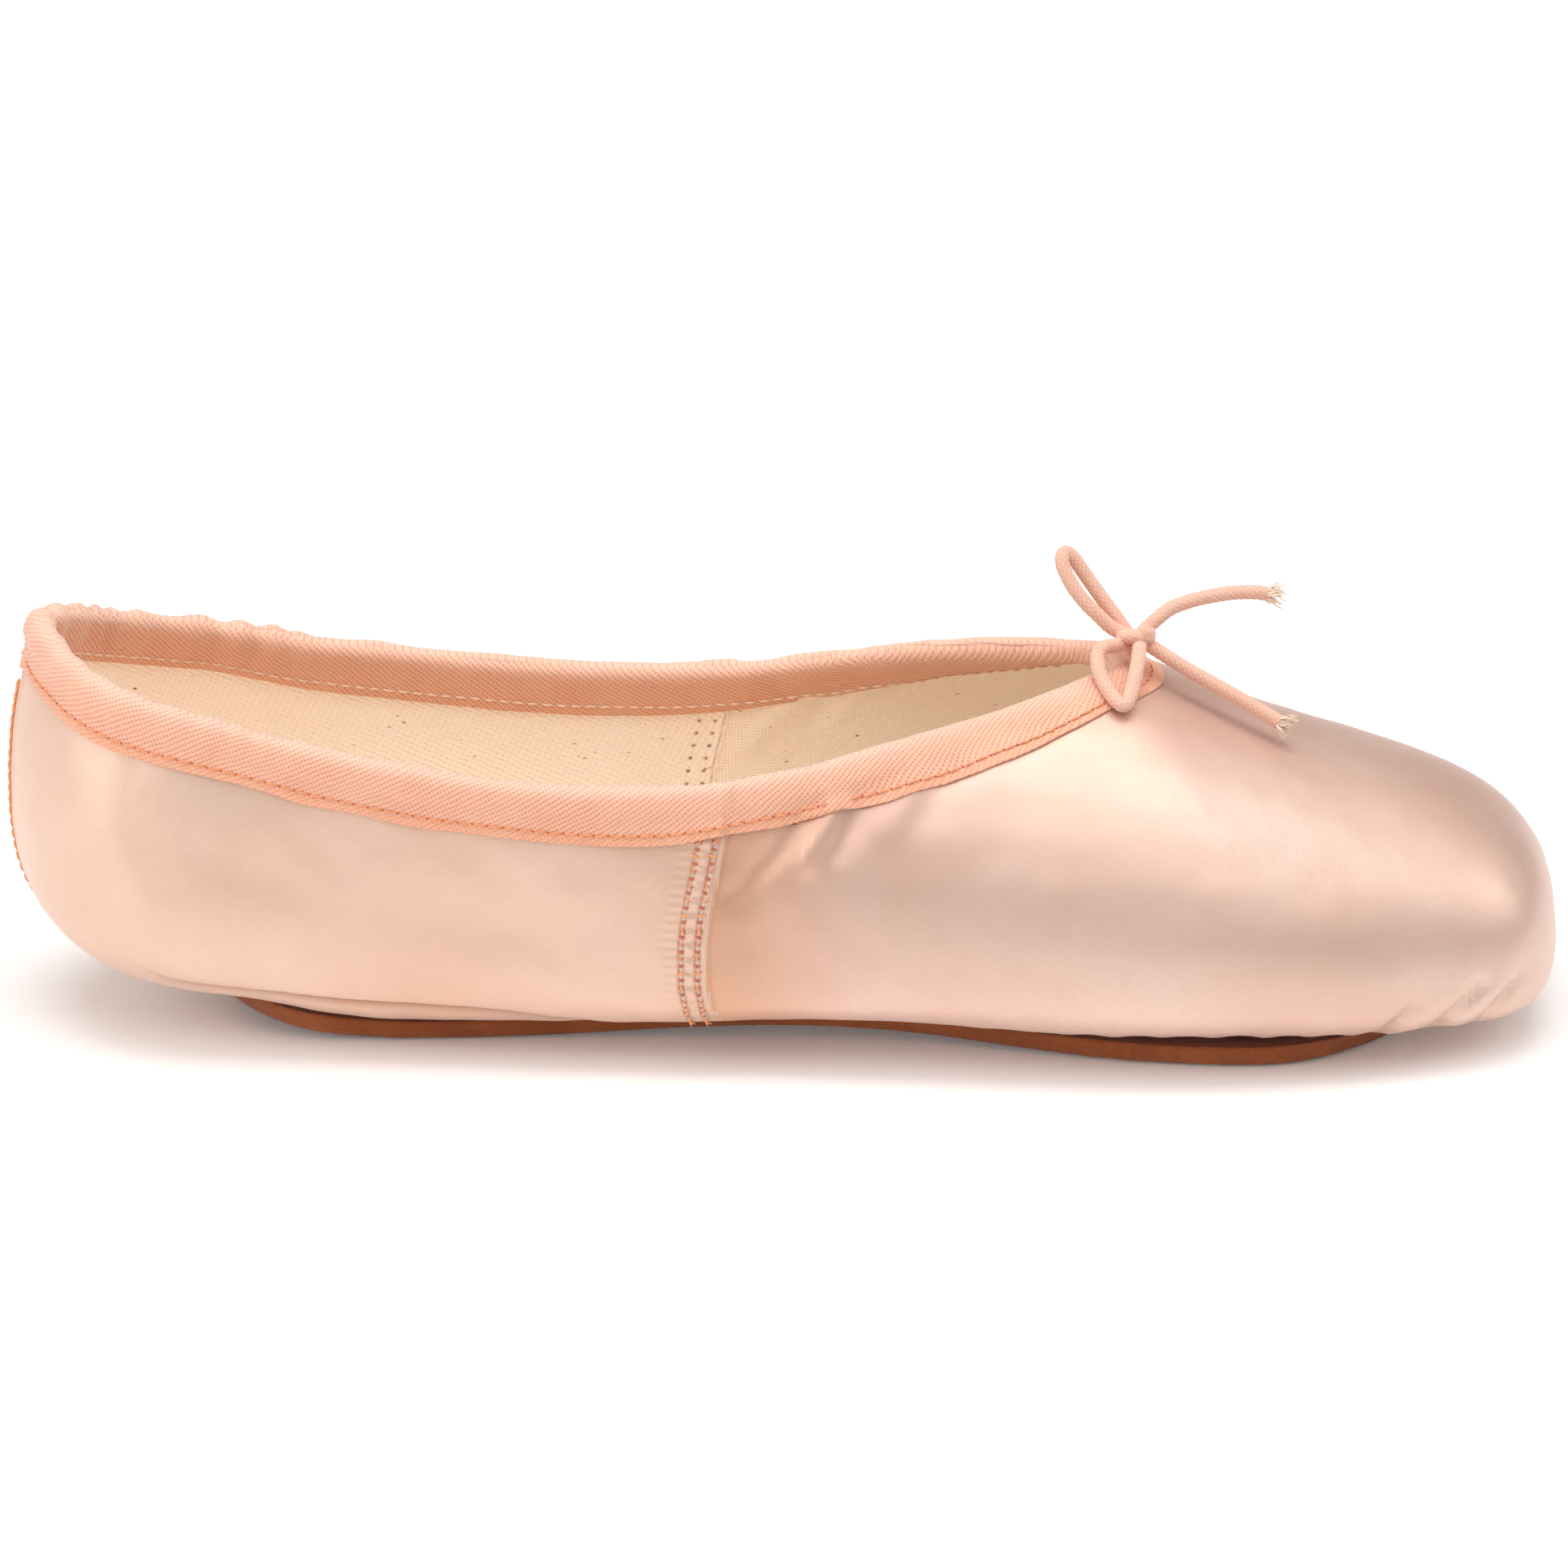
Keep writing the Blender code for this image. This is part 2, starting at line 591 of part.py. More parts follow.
def build_outsole(shade):
    """Flat below, and dished above so that the upper sits in it."""
    rings = []
    marks = HEEL_REST + BALL_REST
    shares = np.linspace(-1, 1, 9)
    for x in plate_stations(SOLE_BACK, SOLE_FRONT, SOLE_BACK_ROUND, SOLE_FRONT_ROUND, marks, 0.008):
        back = np.clip((SOLE_BACK + SOLE_BACK_ROUND - x) / SOLE_BACK_ROUND, 0.0, 1.0)
        front = np.clip((x - SOLE_FRONT + SOLE_FRONT_ROUND) / SOLE_FRONT_ROUND, 0.0, 1.0)
        half = float(sole_width_at(x) * np.sqrt(1 - back**2) * np.sqrt(1 - front**2))
        bottom = float(sole_lift(x))
        ring = [(SOLE_CHAMFER - half, bottom), (half - SOLE_CHAMFER, bottom), (half, bottom + SOLE_CHAMFER)]
        for share in shares[::-1]:
            under, rise = bed_rise(x, share * half)
            rise = SOLE_DISH * math.tanh(float(rise) / SOLE_DISH)
            ring.append((share * half, float(under) - SOLE_SEAT + rise))
        ring.append((-half, bottom + SOLE_CHAMFER))
        rings.append([(x - LENGTH / 2, y, z) for y, z in ring])
    return loft("outsole", rings, shade)


def build_insole(shade):
    """A thin plate that lies in the upper's floor, parallel to it."""
    rings = []
    back_round = HEEL_AXIS - INSOLE_BACK
    for x in plate_stations(INSOLE_BACK, INSOLE_FRONT, back_round, INSOLE_FRONT_ROUND, (), 0.009):
        back = min(max((HEEL_AXIS - x) / back_round, 0.0), 1.0)
        front = min(max((x - INSOLE_FRONT + INSOLE_FRONT_ROUND) / INSOLE_FRONT_ROUND, 0.0), 1.0)
        width = INSOLE_SHARE * float(width_at(LENGTH - max(x, HEEL_AXIS)))
        half = width * math.sqrt(1 - back**2) * math.sqrt(1 - front**2)
        low, high = [], []
        for y in np.linspace(-half, half, 9):
            heights = [sum(bed_rise(x + dx, y + dy)) for dx, dy in ((0, GAP), (0, -GAP), (GAP, 0), (-GAP, 0))]
            slope = math.hypot(heights[0] - heights[1], heights[2] - heights[3]) / (2 * GAP)
            clear = (float(wall_at(x)) + GAP * 1.5) * math.sqrt(1 + slope**2)
            z = float(sum(bed_rise(x, y))) + clear
            low.append((x - LENGTH / 2, y, z))
            high.append((x - LENGTH / 2, y, z + INSOLE_THICKNESS))
        rings.append(low + high[::-1])
    return loft("insole", rings, shade)


def build_knot(shade):
    work = bmesh.new()
    bmesh.ops.create_uvsphere(work, u_segments=14, v_segments=9, radius=0.5)
    spot = (KNOT_SPOT.forward - LENGTH / 2, KNOT_SPOT.left, KNOT_SPOT.up)
    points = [
        (v.co.x * KNOT_LENGTH + spot[0], v.co.y * KNOT_WIDTH + spot[1], v.co.z * KNOT_HEIGHT + spot[2])
        for v in work.verts
    ]
    faces = [[v.index for v in face.verts] for face in work.faces]
    work.free()
    return add("drawstring_knot", points, faces, shade, sharp=80)


def build_cord(name, spots, shade):
    curve = bpy.data.curves.new(name, "CURVE")
    curve.dimensions = "3D"
    curve.bevel_depth = CORD_DIAMETER / 2
    curve.bevel_resolution = 2
    curve.use_fill_caps = True
    line = curve.splines.new("POLY")
    line.points.add(len(spots) - 1)
    for point, spot in zip(line.points, spots):
        point.co = (
            KNOT_SPOT.forward - LENGTH / 2 + spot.forward * CORD_DIAMETER,
            KNOT_SPOT.left + spot.left * CORD_DIAMETER,
            KNOT_SPOT.up + spot.up * CORD_DIAMETER,
            1.0,
        )
    curve.materials.append(shade)
    made = bpy.data.objects.new(name, curve)
    bpy.context.scene.collection.objects.link(made)
    line.use_smooth = True
    return made


def main():
    for old in list(bpy.data.objects):
        bpy.data.objects.remove(old, do_unlink=True)
    grid, proud = base_grid()
    normals = grid_normals(grid)
    build_upper(grid, normals, proud, material("satin", (0.86, 0.62, 0.50), 0.35))
    build_binding(grid, normals, proud, material("twill", (0.88, 0.47, 0.33), 0.75))
    build_outsole(material("suede", (0.42, 0.17, 0.07), 0.95))
    build_insole(material("sock", (0.80, 0.68, 0.50), 0.9))
    braid = material("braid", (0.90, 0.66, 0.55), 0.8)
    build_knot(braid)
    build_cord("drawstring_loop_far", LOOP_FAR, braid)
    build_cord("drawstring_loop_near", LOOP_NEAR, braid)
    build_cord("drawstring_end_high", END_HIGH, braid)
    build_cord("drawstring_end_low", END_LOW, braid)


main()
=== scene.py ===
"""Looks of a pointe shoe: satin over a hollow box, twill binding, cotton lining, suede sole and the
bow of its drawstring, on a pale floor in soft studio light."""

import math
import random

import bmesh
import bpy
import numpy as np
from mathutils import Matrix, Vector, noise
from mathutils.bvhtree import BVHTree


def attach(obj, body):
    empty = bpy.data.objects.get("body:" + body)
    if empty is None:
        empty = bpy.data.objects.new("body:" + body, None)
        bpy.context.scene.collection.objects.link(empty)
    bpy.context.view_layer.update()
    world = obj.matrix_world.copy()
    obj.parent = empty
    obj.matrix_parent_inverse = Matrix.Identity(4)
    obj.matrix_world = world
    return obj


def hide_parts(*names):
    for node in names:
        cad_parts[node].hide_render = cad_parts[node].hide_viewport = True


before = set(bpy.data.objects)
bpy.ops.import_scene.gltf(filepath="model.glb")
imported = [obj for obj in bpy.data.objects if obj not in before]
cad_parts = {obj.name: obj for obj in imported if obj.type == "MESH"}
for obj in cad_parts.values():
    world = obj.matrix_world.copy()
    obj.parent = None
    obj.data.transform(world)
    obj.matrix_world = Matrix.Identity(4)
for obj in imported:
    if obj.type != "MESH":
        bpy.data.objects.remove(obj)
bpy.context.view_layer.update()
MM = 0.001
HEEL_X = -0.115
HEEL_AXIS_X = -0.085
HEEL_RADIUS = 0.0275


def shoe(from_heel, left, up):
    """A place given in millimetres from the heel, to the left and up."""
    return Vector((HEEL_X + from_heel * MM, left * MM, up * MM))


# Camera
AIM = Vector((0.0, 0.0, 0.0338))
ELEVATION = math.radians(20)
DISTANCE = 1.10
camera_data = bpy.data.cameras.new("camera")
camera_data.lens = 170
camera_data.sensor_width = 36
camera = bpy.data.objects.new("camera", camera_data)
bpy.context.scene.collection.objects.link(camera)
camera.location = AIM + DISTANCE * Vector((0, -math.cos(ELEVATION), math.sin(ELEVATION)))
camera.rotation_euler = (math.pi / 2 - ELEVATION, 0, 0)
bpy.context.scene.camera = camera


# Materials
class Amount:
    """A number that changes over a surface, with ordinary arithmetic."""

    def __init__(self, finish, socket):
        self.finish = finish
        self.socket = socket

    def maths(self, operation, *others):
        return self.finish.node("ShaderNodeMath", {"operation": operation}, *others)

    def __add__(self, other):
        return self.maths("ADD", self, other)

    def __radd__(self, other):
        return self.maths("ADD", other, self)

    def __sub__(self, other):
        return self.maths("SUBTRACT", self, other)

    def __rsub__(self, other):
        return self.maths("SUBTRACT", other, self)

    def __mul__(self, other):
        return self.maths("MULTIPLY", self, other)

    def __truediv__(self, other):
        return self.maths("DIVIDE", self, other)

    def sine(self):
        return self.maths("SINE", self)

    def size(self):
        return self.maths("ABSOLUTE", self)

    def clamped(self):
        return self.finish.node("ShaderNodeClamp", {}, self, 0.0, 1.0)

    def near(self, middle, reach):
        """1 at the middle, falling softly to 0 past the reach."""
        share = (self - middle) / reach
        return self.maths("EXPONENT", share * share * -1.0)


class Finish:
    """A material under construction."""

    def __init__(self, name, **shader_values):
        self.material = bpy.data.materials.new(name)
        self.material.use_nodes = True
        self.tree = self.material.node_tree
        self.shader = self.tree.nodes["Principled BSDF"]
        for key, value in shader_values.items():
            self.shader.inputs[key.replace("_", " ")].default_value = value

    def node(self, kind, settings, *inputs, out=0, **named):
        made = self.tree.nodes.new(kind)
        for key, value in settings.items():
            if key == "stops":
                ramp = made.color_ramp
                while len(ramp.elements) < len(value):
                    ramp.elements.new(0.5)
                for element, (at, tone) in zip(ramp.elements, value):
                    element.position = at
                    element.color = tone
            else:
                setattr(made, key, value)
        pairs = list(enumerate(inputs)) + [(key.replace("_", " "), value) for key, value in named.items()]
        for key, value in pairs:
            if value is None:
                continue
            if isinstance(value, Amount):
                self.tree.links.new(value.socket, made.inputs[key])
            else:
                made.inputs[key].default_value = value
        return Amount(self, made.outputs[out])

    def place(self, out="Object"):
        return self.node("ShaderNodeTexCoord", {}, out=out)

    def stretched(self, place, scale):
        return self.node("ShaderNodeMapping", {}, Vector=place, Scale=scale)

    def axes(self, place):
        split = self.node("ShaderNodeSeparateXYZ", {}, place)
        outputs = split.socket.node.outputs
        return [Amount(self, outputs[k]) for k in range(3)]

    def attribute(self, name):
        return self.node("ShaderNodeAttribute", {"attribute_name": name}, out=2)

    def noise(self, place, scale, detail=2.0, roughness=0.5):
        return self.node(
            "ShaderNodeTexNoise", {}, Vector=place, Scale=scale, Detail=detail, Roughness=roughness
        )

    def ramp(self, amount, *stops):
        return self.node("ShaderNodeValToRGB", {"stops": stops}, amount)

    def mixed(self, share, first, second):
        made = self.tree.nodes.new("ShaderNodeMix")
        made.data_type = "RGBA"
        for index, value in ((0, share), (6, first), (7, second)):
            if isinstance(value, Amount):
                self.tree.links.new(value.socket, made.inputs[index])
            else:
                made.inputs[index].default_value = value
        return Amount(self, made.outputs[2])

    def bump(self, height, strength, distance, under=None):
        return self.node(
            "ShaderNodeBump", {}, Strength=strength, Distance=distance, Height=height, Normal=under
        )

    def connect(self, **targets):
        for key, value in targets.items():
            self.tree.links.new(value.socket, self.shader.inputs[key.replace("_", " ")])
        return self.material


def colour(red, green, blue):
    """A colour read as a screen shows it, from 0 to 255, for a socket."""
    made = []
    for value in (red, green, blue):
        share = value / 255
        made.append(share / 12.92 if share < 0.04045 else ((share + 0.055) / 1.055) ** 2.4)
    return (*made, 1.0)


# Threads and rows of stitches
WAVES = 2 * math.pi
STITCH_PITCH = 2.2 * MM
ROW_PLACES = (-1.6 * MM, -4.0 * MM)
WEFT_PITCH = 0.40 * MM
WARP_PITCH = 0.42 * MM
TWILL_RIB = 0.66 * MM
TWILL_KNOT = 0.52 * MM
HEM_STRIP = 1.45 * MM
CANVAS_THREADS = 9000.0
THREAD_RADIUS = 0.19 * MM
SEED_FLECK = (160, 108, 60)


def seam_relief(finish, height):
    """The side seam's folded edge, the grooves of its two stitch rows and the puckers between them."""
    seam = finish.attribute("from_seam")
    grooves = seam.near(ROW_PLACES[0], 0.42 * MM) + seam.near(ROW_PLACES[1], 0.42 * MM)
    beat = (height * (WAVES / STITCH_PITCH)).sine() * 0.5 + 0.5
    beat_fine = (height * (WAVES / (STITCH_PITCH * 0.6)) + 1.0).sine() * 0.5 + 0.5
    puckers = seam.near(-2.9 * MM, 0.8 * MM) * beat + seam.near(-5.6 * MM, 1.3 * MM) * beat_fine * 0.25
    return seam.near(-0.5 * MM, 0.5 * MM) * 0.5 - grooves * 0.9 + puckers * 0.4


def satin_finish(name, base, shade, gloss, seamed):
    """Fine satin, either the quarters' with their seam, their fold and painted shadow under the fold, or the
    vamp's with painted shade along its seam and in its hollow.
    """
    finish = Finish(name, Metallic=gloss, Sheen_Weight=0.10, Sheen_Roughness=0.4, Specular_IOR_Level=0.7)
    place = finish.place()
    across, height, _ = finish.axes(finish.place("UV"))
    drift = finish.noise(place, 26.0, 3.0)
    tone = finish.mixed(finish.ramp(drift, (0.3, (0, 0, 0, 1)), (0.7, (1, 1, 1, 1))), shade, base)
    weft = ((across * 0.32 + height) * (WAVES / WEFT_PITCH)).sine()
    warp = ((across - height * 0.2) * (WAVES / WARP_PITCH)).sine()
    weave = weft * 0.32 + warp * 0.26 + 0.5
    threads = finish.noise(finish.stretched(place, (700, 700, 4200)), 1.0, 2.0, 0.6)
    tone = finish.mixed(((threads - 0.5) * 0.6 + weave * 0.34).clamped(), tone, shade)
    cloudy = finish.noise(place, 110.0, 3.0)
    relief = finish.bump(weave * 0.6 + threads * 0.6, 0.25, 0.00010)
    relief = finish.bump(cloudy, 0.16, 0.0008, relief)
    if seamed:
        relief = finish.bump(seam_relief(finish, height), 0.9, 0.00055, relief)
        fold = finish.attribute("from_fold")
        reach = finish.attribute("fold_reach")
        step = ((fold + 0.25 * MM) / (0.35 * MM)).clamped()
        relief = finish.bump(step * reach, 1.0, 0.0007, relief)
        shadow = (fold * -6000.0).clamped() * ((fold + 2.2 * MM) * 480.0).clamped() * reach
        tone = finish.mixed(shadow, tone, colour(188, 116, 78))
    else:
        seam = finish.attribute("from_seam")
        # Painted shadow: a dark line along the seam on the vamp side.
        shadow = (seam * -1200.0 + 1.0).clamped() * (seam * 9000.0).clamped() * 0.7
        tone = finish.mixed(shadow, tone, colour(196, 136, 104))
        # Painted shade: a wide band of the vamp beside the seam is darkened, as if in shade in the hollow
        # there.
        hollow = (1.0 - (seam / (21 * MM))).clamped() * (0.55 + (drift - 0.5) * 0.7)
        tone = finish.mixed(hollow.clamped(), tone, colour(216, 152, 104))
    return finish.connect(Base_Color=tone, Normal=relief, Roughness=(threads - 0.5) * 0.12 + 0.40)


def twill_finish(name, light, dark, edge):
    """Herringbone tape: diagonal ribs of fine knots, a painted highlight along the top of its roll and a
    darker strip at its lower edge.
    """
    finish = Finish(name, Roughness=0.75, Sheen_Weight=0.4, Sheen_Roughness=0.5)
    along, down, _ = finish.axes(finish.place("UV"))
    wander = finish.noise(finish.place(), 160.0, 2.0) * 0.0009
    down = down.size()
    hem = finish.attribute("from_hem")
    ribs = ((along * 0.56 + down * 0.828 + wander) * (WAVES / TWILL_RIB)).sine() * 0.5 + 0.5
    knots = ((along * 0.828 - down * 0.56) * (WAVES / TWILL_KNOT)).sine() * 0.5 + 0.5
    pits = (1 - ribs) * (1 - knots)
    fuzz = finish.noise(finish.place(), 5200.0, 3.0, 0.7)
    patch = finish.noise(finish.place(), 120.0, 3.0)
    tone = finish.mixed((1.0 - pits * 0.85 + (ribs - 0.6) * 0.2 + (patch - 0.5) * 0.6).clamped(), dark, light)
    # Painted highlight: the top of the roll is made paler, as if lit from above.
    roll = ((2.6 * MM - down) * 500.0).clamped() * 0.25
    tone = finish.mixed(roll, tone, colour(255, 224, 206))
    strip = ((HEM_STRIP - hem) * 2500.0).clamped() * (0.20 + fuzz * 0.45)
    tone = finish.mixed(strip, tone, edge)
    relief = finish.bump(ribs * 0.6 - pits * 0.6 + fuzz * 0.25, 0.6, 0.00018)
    return finish.connect(Base_Color=tone, Normal=relief)


def lining_finish(name, light, dark, rib, twilled):
    """Cotton lining with its seam fold, needle holes, small flecks of seed, painted shade beside the fold and
    a faint glow of painted light.
    """
    # The emission is painted light: the lining glows faintly in its own colour to brighten the inside of the
    # shoe.
    finish = Finish(name, Roughness=0.85, Sheen_Weight=0.25, Emission_Strength=0.14)
    along, height, _ = finish.axes(finish.place("UV"))
    wander = finish.noise(finish.place(), 220.0, 2.0) * 0.0006
    if twilled:
        ribs = ((along * 0.45 + height * 0.9 + wander) * (WAVES / rib)).sine() * 0.5 + 0.5
        knots = ((along * 0.9 - height * 0.45) * (WAVES / (rib * 1.2))).sine() * 0.5 + 0.5
    else:
        ribs = ((height + wander) * (WAVES / rib)).sine() * 0.5 + 0.5
        knots = ((along + wander) * (WAVES / rib)).sine() * 0.5 + 0.5
    pits = (1 - ribs) * (1 - knots)
    fuzz = finish.noise(finish.place(), 3600.0, 3.0, 0.7)
    patch = finish.noise(finish.place(), 60.0, 3.0)
    tone = finish.mixed((1.0 - pits * 0.9 + (patch - 0.5) * 0.6 + (fuzz - 0.5) * 0.5).clamped(), dark, light)
    specks = finish.noise(finish.stretched(finish.place(), (700, 700, 1400)), 1.0, 1.0)
    tone = finish.mixed(((specks - 0.74) * 14.0).clamped(), tone, colour(*SEED_FLECK))
    seam = finish.attribute("from_seam")
    beat = ((height * (WAVES / STITCH_PITCH)).sine() - 0.55).clamped() * 2.2
    holes = (seam.near(-1.7 * MM, 0.28 * MM) + seam.near(-4.1 * MM, 0.28 * MM)) * beat
    tone = finish.mixed(holes.clamped(), tone, colour(150, 96, 60))
    # Painted shade: a dark line just beside the seam's folded edge.
    tone = finish.mixed(seam.near(0.3 * MM, 0.22 * MM) * 0.6, tone, dark)
    fold = ((seam + 0.2 * MM) * -2500.0).clamped()
    relief = finish.bump(ribs * 0.5 - pits * 0.7 + fuzz * 0.35, 0.7, 0.0002)
    relief = finish.bump(fold - holes * 0.6, 0.8, 0.0005, relief)
    return finish.connect(Base_Color=tone, Emission_Color=tone, Normal=relief)


def canvas_finish(name, light, dark):
    """Plain woven cotton."""
    finish = Finish(name, Roughness=0.85, Sheen_Weight=0.25)
    across, down, _ = finish.axes(finish.place("UV"))
    warp = (across * CANVAS_THREADS).sine()
    weft = (down * CANVAS_THREADS).sine()
    weave = warp * weft * 0.5 + 0.5
    fuzz = finish.noise(finish.place(), 2600.0, 3.0, 0.7)
    tone = finish.mixed((weave * 0.4 + fuzz * 0.8 - 0.2).clamped(), dark, light)
    return finish.connect(Base_Color=tone, Normal=finish.bump(weave + fuzz * 0.6, 0.5, 0.00015))


def suede_finish(name, light, dark):
    """Rough leather with a short nap."""
    finish = Finish(name, Roughness=0.95, Sheen_Weight=0.3)
    place = finish.place()
    broad = finish.noise(place, 140.0, 4.0, 0.6)
    fine = finish.noise(place, 1900.0, 5.0, 0.75)
    tone = finish.mixed((broad * 0.8 + fine * 0.9 - 0.35).clamped(), dark, light)
    return finish.connect(Base_Color=tone, Normal=finish.bump(broad * 0.5 + fine, 0.8, 0.0005))


def yarn_finish(name, light, dark, roughness=0.7, groove_shade=None):
    """Thread or yarn; where it is plaited, painted shade darkens it between the yarns."""
    finish = Finish(name, Roughness=roughness, Sheen_Weight=0.4)
    place = finish.place()
    fibre = finish.noise(place, 4200.0, 3.0, 0.7)
    tone = finish.mixed((fibre * 1.5 - 0.25).clamped(), dark, light)
    if groove_shade:
        # Painted shade: low places between the plaited yarns are darkened.
        yarns = finish.attribute("yarn_height")
        tone = finish.mixed((1 - yarns * 1.6).clamped() * 0.6, tone, groove_shade)
    return finish.connect(Base_Color=tone, Normal=finish.bump(fibre, 0.6, 0.00012))


def floor_finish():
    """A pale floor that glows into white behind the shoe."""
    finish = Finish("pale_floor", Roughness=0.75, Emission_Strength=0.5)
    cloud = finish.noise(finish.place(), 3.0, 2.0)
    tone = finish.mixed(cloud, colour(244, 243, 242), colour(250, 250, 249))
    _, back, _ = finish.axes(finish.place())
    behind = ((back - 0.10) * 2.2).clamped()
    glow = finish.mixed(behind, (0.22, 0.22, 0.22, 1), (1, 1, 1, 1))
    return finish.connect(Base_Color=tone, Emission_Color=glow)


VAMP_SATIN = satin_finish("vamp_satin", colour(234, 202, 187), colour(220, 178, 158), 0.41, False)
QUARTER_SATIN = satin_finish("quarter_satin", colour(238, 206, 186), colour(227, 186, 162), 0.34, True)
BINDING_TWILL = twill_finish(
    "binding_twill", colour(247, 192, 164), colour(226, 138, 102), colour(242, 166, 124)
)
QUARTER_LINING = lining_finish(
    "quarter_lining", colour(255, 242, 226), colour(255, 226, 198), 0.80 * MM, True
)
VAMP_LINING = lining_finish(
    "vamp_lining", colour(255, 240, 222), colour(248, 212, 176), 0.50 * MM, False
)
SOLE_SUEDE = suede_finish("sole_suede", colour(166, 94, 50), colour(104, 54, 26))
SOLE_EDGE = suede_finish("sole_edge", colour(206, 120, 66), colour(150, 80, 38))
SOCK_CLOTH = canvas_finish("sock_cloth", colour(240, 222, 192), colour(208, 180, 140))
# The plaited cord's third colour is painted shade between its yarns.
BRAIDED_COTTON = yarn_finish(
    "braided_cotton", colour(250, 214, 196), colour(230, 172, 146), groove_shade=colour(226, 158, 126)
)
FRAYED_COTTON = yarn_finish("frayed_cotton", colour(255, 238, 220), colour(248, 214, 188), 0.85)
SEAM_THREAD = yarn_finish("seam_thread", colour(250, 176, 118), colour(226, 132, 80), 0.5)
HOLE_SHADE = yarn_finish("needle_holes", colour(224, 118, 70), colour(186, 88, 48), 0.9)
PALE_THREAD = yarn_finish("pale_thread", colour(255, 236, 216), colour(246, 206, 176), 0.5)
LEATHER_NAP = yarn_finish("leather_nap", colour(190, 118, 72), colour(126, 68, 36), 0.95)


# Mesh helpers
def new_piece(name, points, faces, material):
    """A smooth piece that rides on the shoe."""
    mesh = bpy.data.meshes.new(name)
    mesh.from_pydata([tuple(p) for p in points], [], [tuple(f) for f in faces])
    mesh.materials.append(material)
    made = bpy.data.objects.new(name, mesh)
    bpy.context.scene.collection.objects.link(made)
    mesh.shade_smooth()
    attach(made, "root")
    return made


def only(piece):
    """Makes a piece the one that the next operators work on."""
    bpy.ops.object.select_all(action="DESELECT")
    piece.select_set(True)
    bpy.context.view_layer.objects.active = piece


def places(mesh):
    found = np.empty(len(mesh.vertices) * 3)
    mesh.vertices.foreach_get("co", found)
    return found.reshape(-1, 3)


def directions(mesh):
    found = np.empty(len(mesh.vertices) * 3)
    mesh.vertex_normals.foreach_get("vector", found)
    return found.reshape(-1, 3)


def put_back(mesh, points):
    mesh.vertices.foreach_set("co", points.ravel())
    mesh.update()


def refine(piece):
    """Splits each face in four on a smooth surface."""
    finer = piece.modifiers.new("finer", "SUBSURF")
    finer.levels = 1
    bpy.ops.object.modifier_apply(modifier="finer")


def split_long(piece, longest):
    """Splits the faces whose edges along the shoe are longer than that."""
    bpy.ops.object.mode_set(mode="EDIT")
    bpy.ops.mesh.select_mode(type="EDGE")
    bpy.ops.mesh.select_all(action="DESELECT")
    work = bmesh.from_edit_mesh(piece.data)
    for edge in work.edges:
        way = edge.verts[1].co - edge.verts[0].co
        if way.length > longest and abs(way.x) > 0.75 * way.length:
            edge.select_set(True)
    bmesh.update_edit_mesh(piece.data)
    bpy.ops.mesh.subdivide(number_cuts=1, smoothness=0)
    bpy.ops.mesh.select_mode(type="VERT")
    bpy.ops.object.mode_set(mode="OBJECT")


def fine_copy(node, name, crease=None, longest=None):
    """A finer copy of a solid's surface, in four-sided faces."""
    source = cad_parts[node]
    mesh = source.data.copy()
    mesh.name = name
    mesh.materials.clear()
    piece = bpy.data.objects.new(name, mesh)
    bpy.context.scene.collection.objects.link(piece)
    only(piece)
    bpy.ops.object.mode_set(mode="EDIT")
    bpy.ops.mesh.select_all(action="SELECT")
    bpy.ops.mesh.remove_doubles(threshold=0.00002)
    bpy.ops.mesh.tris_convert_to_quads(face_threshold=math.radians(80), shape_threshold=math.radians(75))
    bpy.ops.object.mode_set(mode="OBJECT")
    if mesh.has_custom_normals:
        bpy.ops.mesh.customdata_custom_splitnormals_clear()
    if crease:
        crease(mesh)
    refine(piece)
    if longest:
        split_long(piece, longest)
    refine(piece)
    mesh = piece.data
    mesh.shade_smooth()
    for layer in list(mesh.uv_layers):
        mesh.uv_layers.remove(layer)
    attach(piece, "root")
    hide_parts(node)
    return piece


def along_wall(points):
    """How far a place is round the shoe's plan from the middle of its length."""
    behind = HEEL_AXIS_X - points[:, 0]
    turn = np.arctan2(np.maximum(behind, 0), np.abs(points[:, 1]) + 1e-9)
    return np.where(behind > 0, HEEL_AXIS_X - HEEL_RADIUS * turn, points[:, 0])


def cloth_places(points):
    """Where the weave of the cloth is at each place: along the shoe and up or over the vamp."""
    over = ease(points[:, 0] / 0.04)
    along = along_wall(points) + 0.6 * points[:, 1] * over
    return np.stack([along, points[:, 2] - np.abs(points[:, 1]) * over], axis=1)


def spread(mesh, pairs):
    """Lays the weave out by a pair of lengths for each place."""
    layer = mesh.uv_layers.new(name="weave")
    corners = np.empty(len(mesh.loops), dtype=np.int32)
    mesh.loops.foreach_get("vertex_index", corners)
    layer.data.foreach_set("uv", pairs[corners].ravel())


def waviness(points, size, seed):
    """Smooth random numbers about -1 to 1 over points, with hills about size apart."""
    shift = Vector((seed * 7.13, seed * 3.71, seed * 1.97))
    return np.array([noise.noise(Vector(p) / size + shift) for p in points])


def ease(share):
    """0 below 0, 1 above 1, and smooth between them."""
    share = np.clip(share, 0, 1)
    return share * share * (3 - 2 * share)


# Cords
RING_GAP = 0.00016
RING_CORNERS = 40
FRAY_YARNS = 90
YARN_STEPS = 8


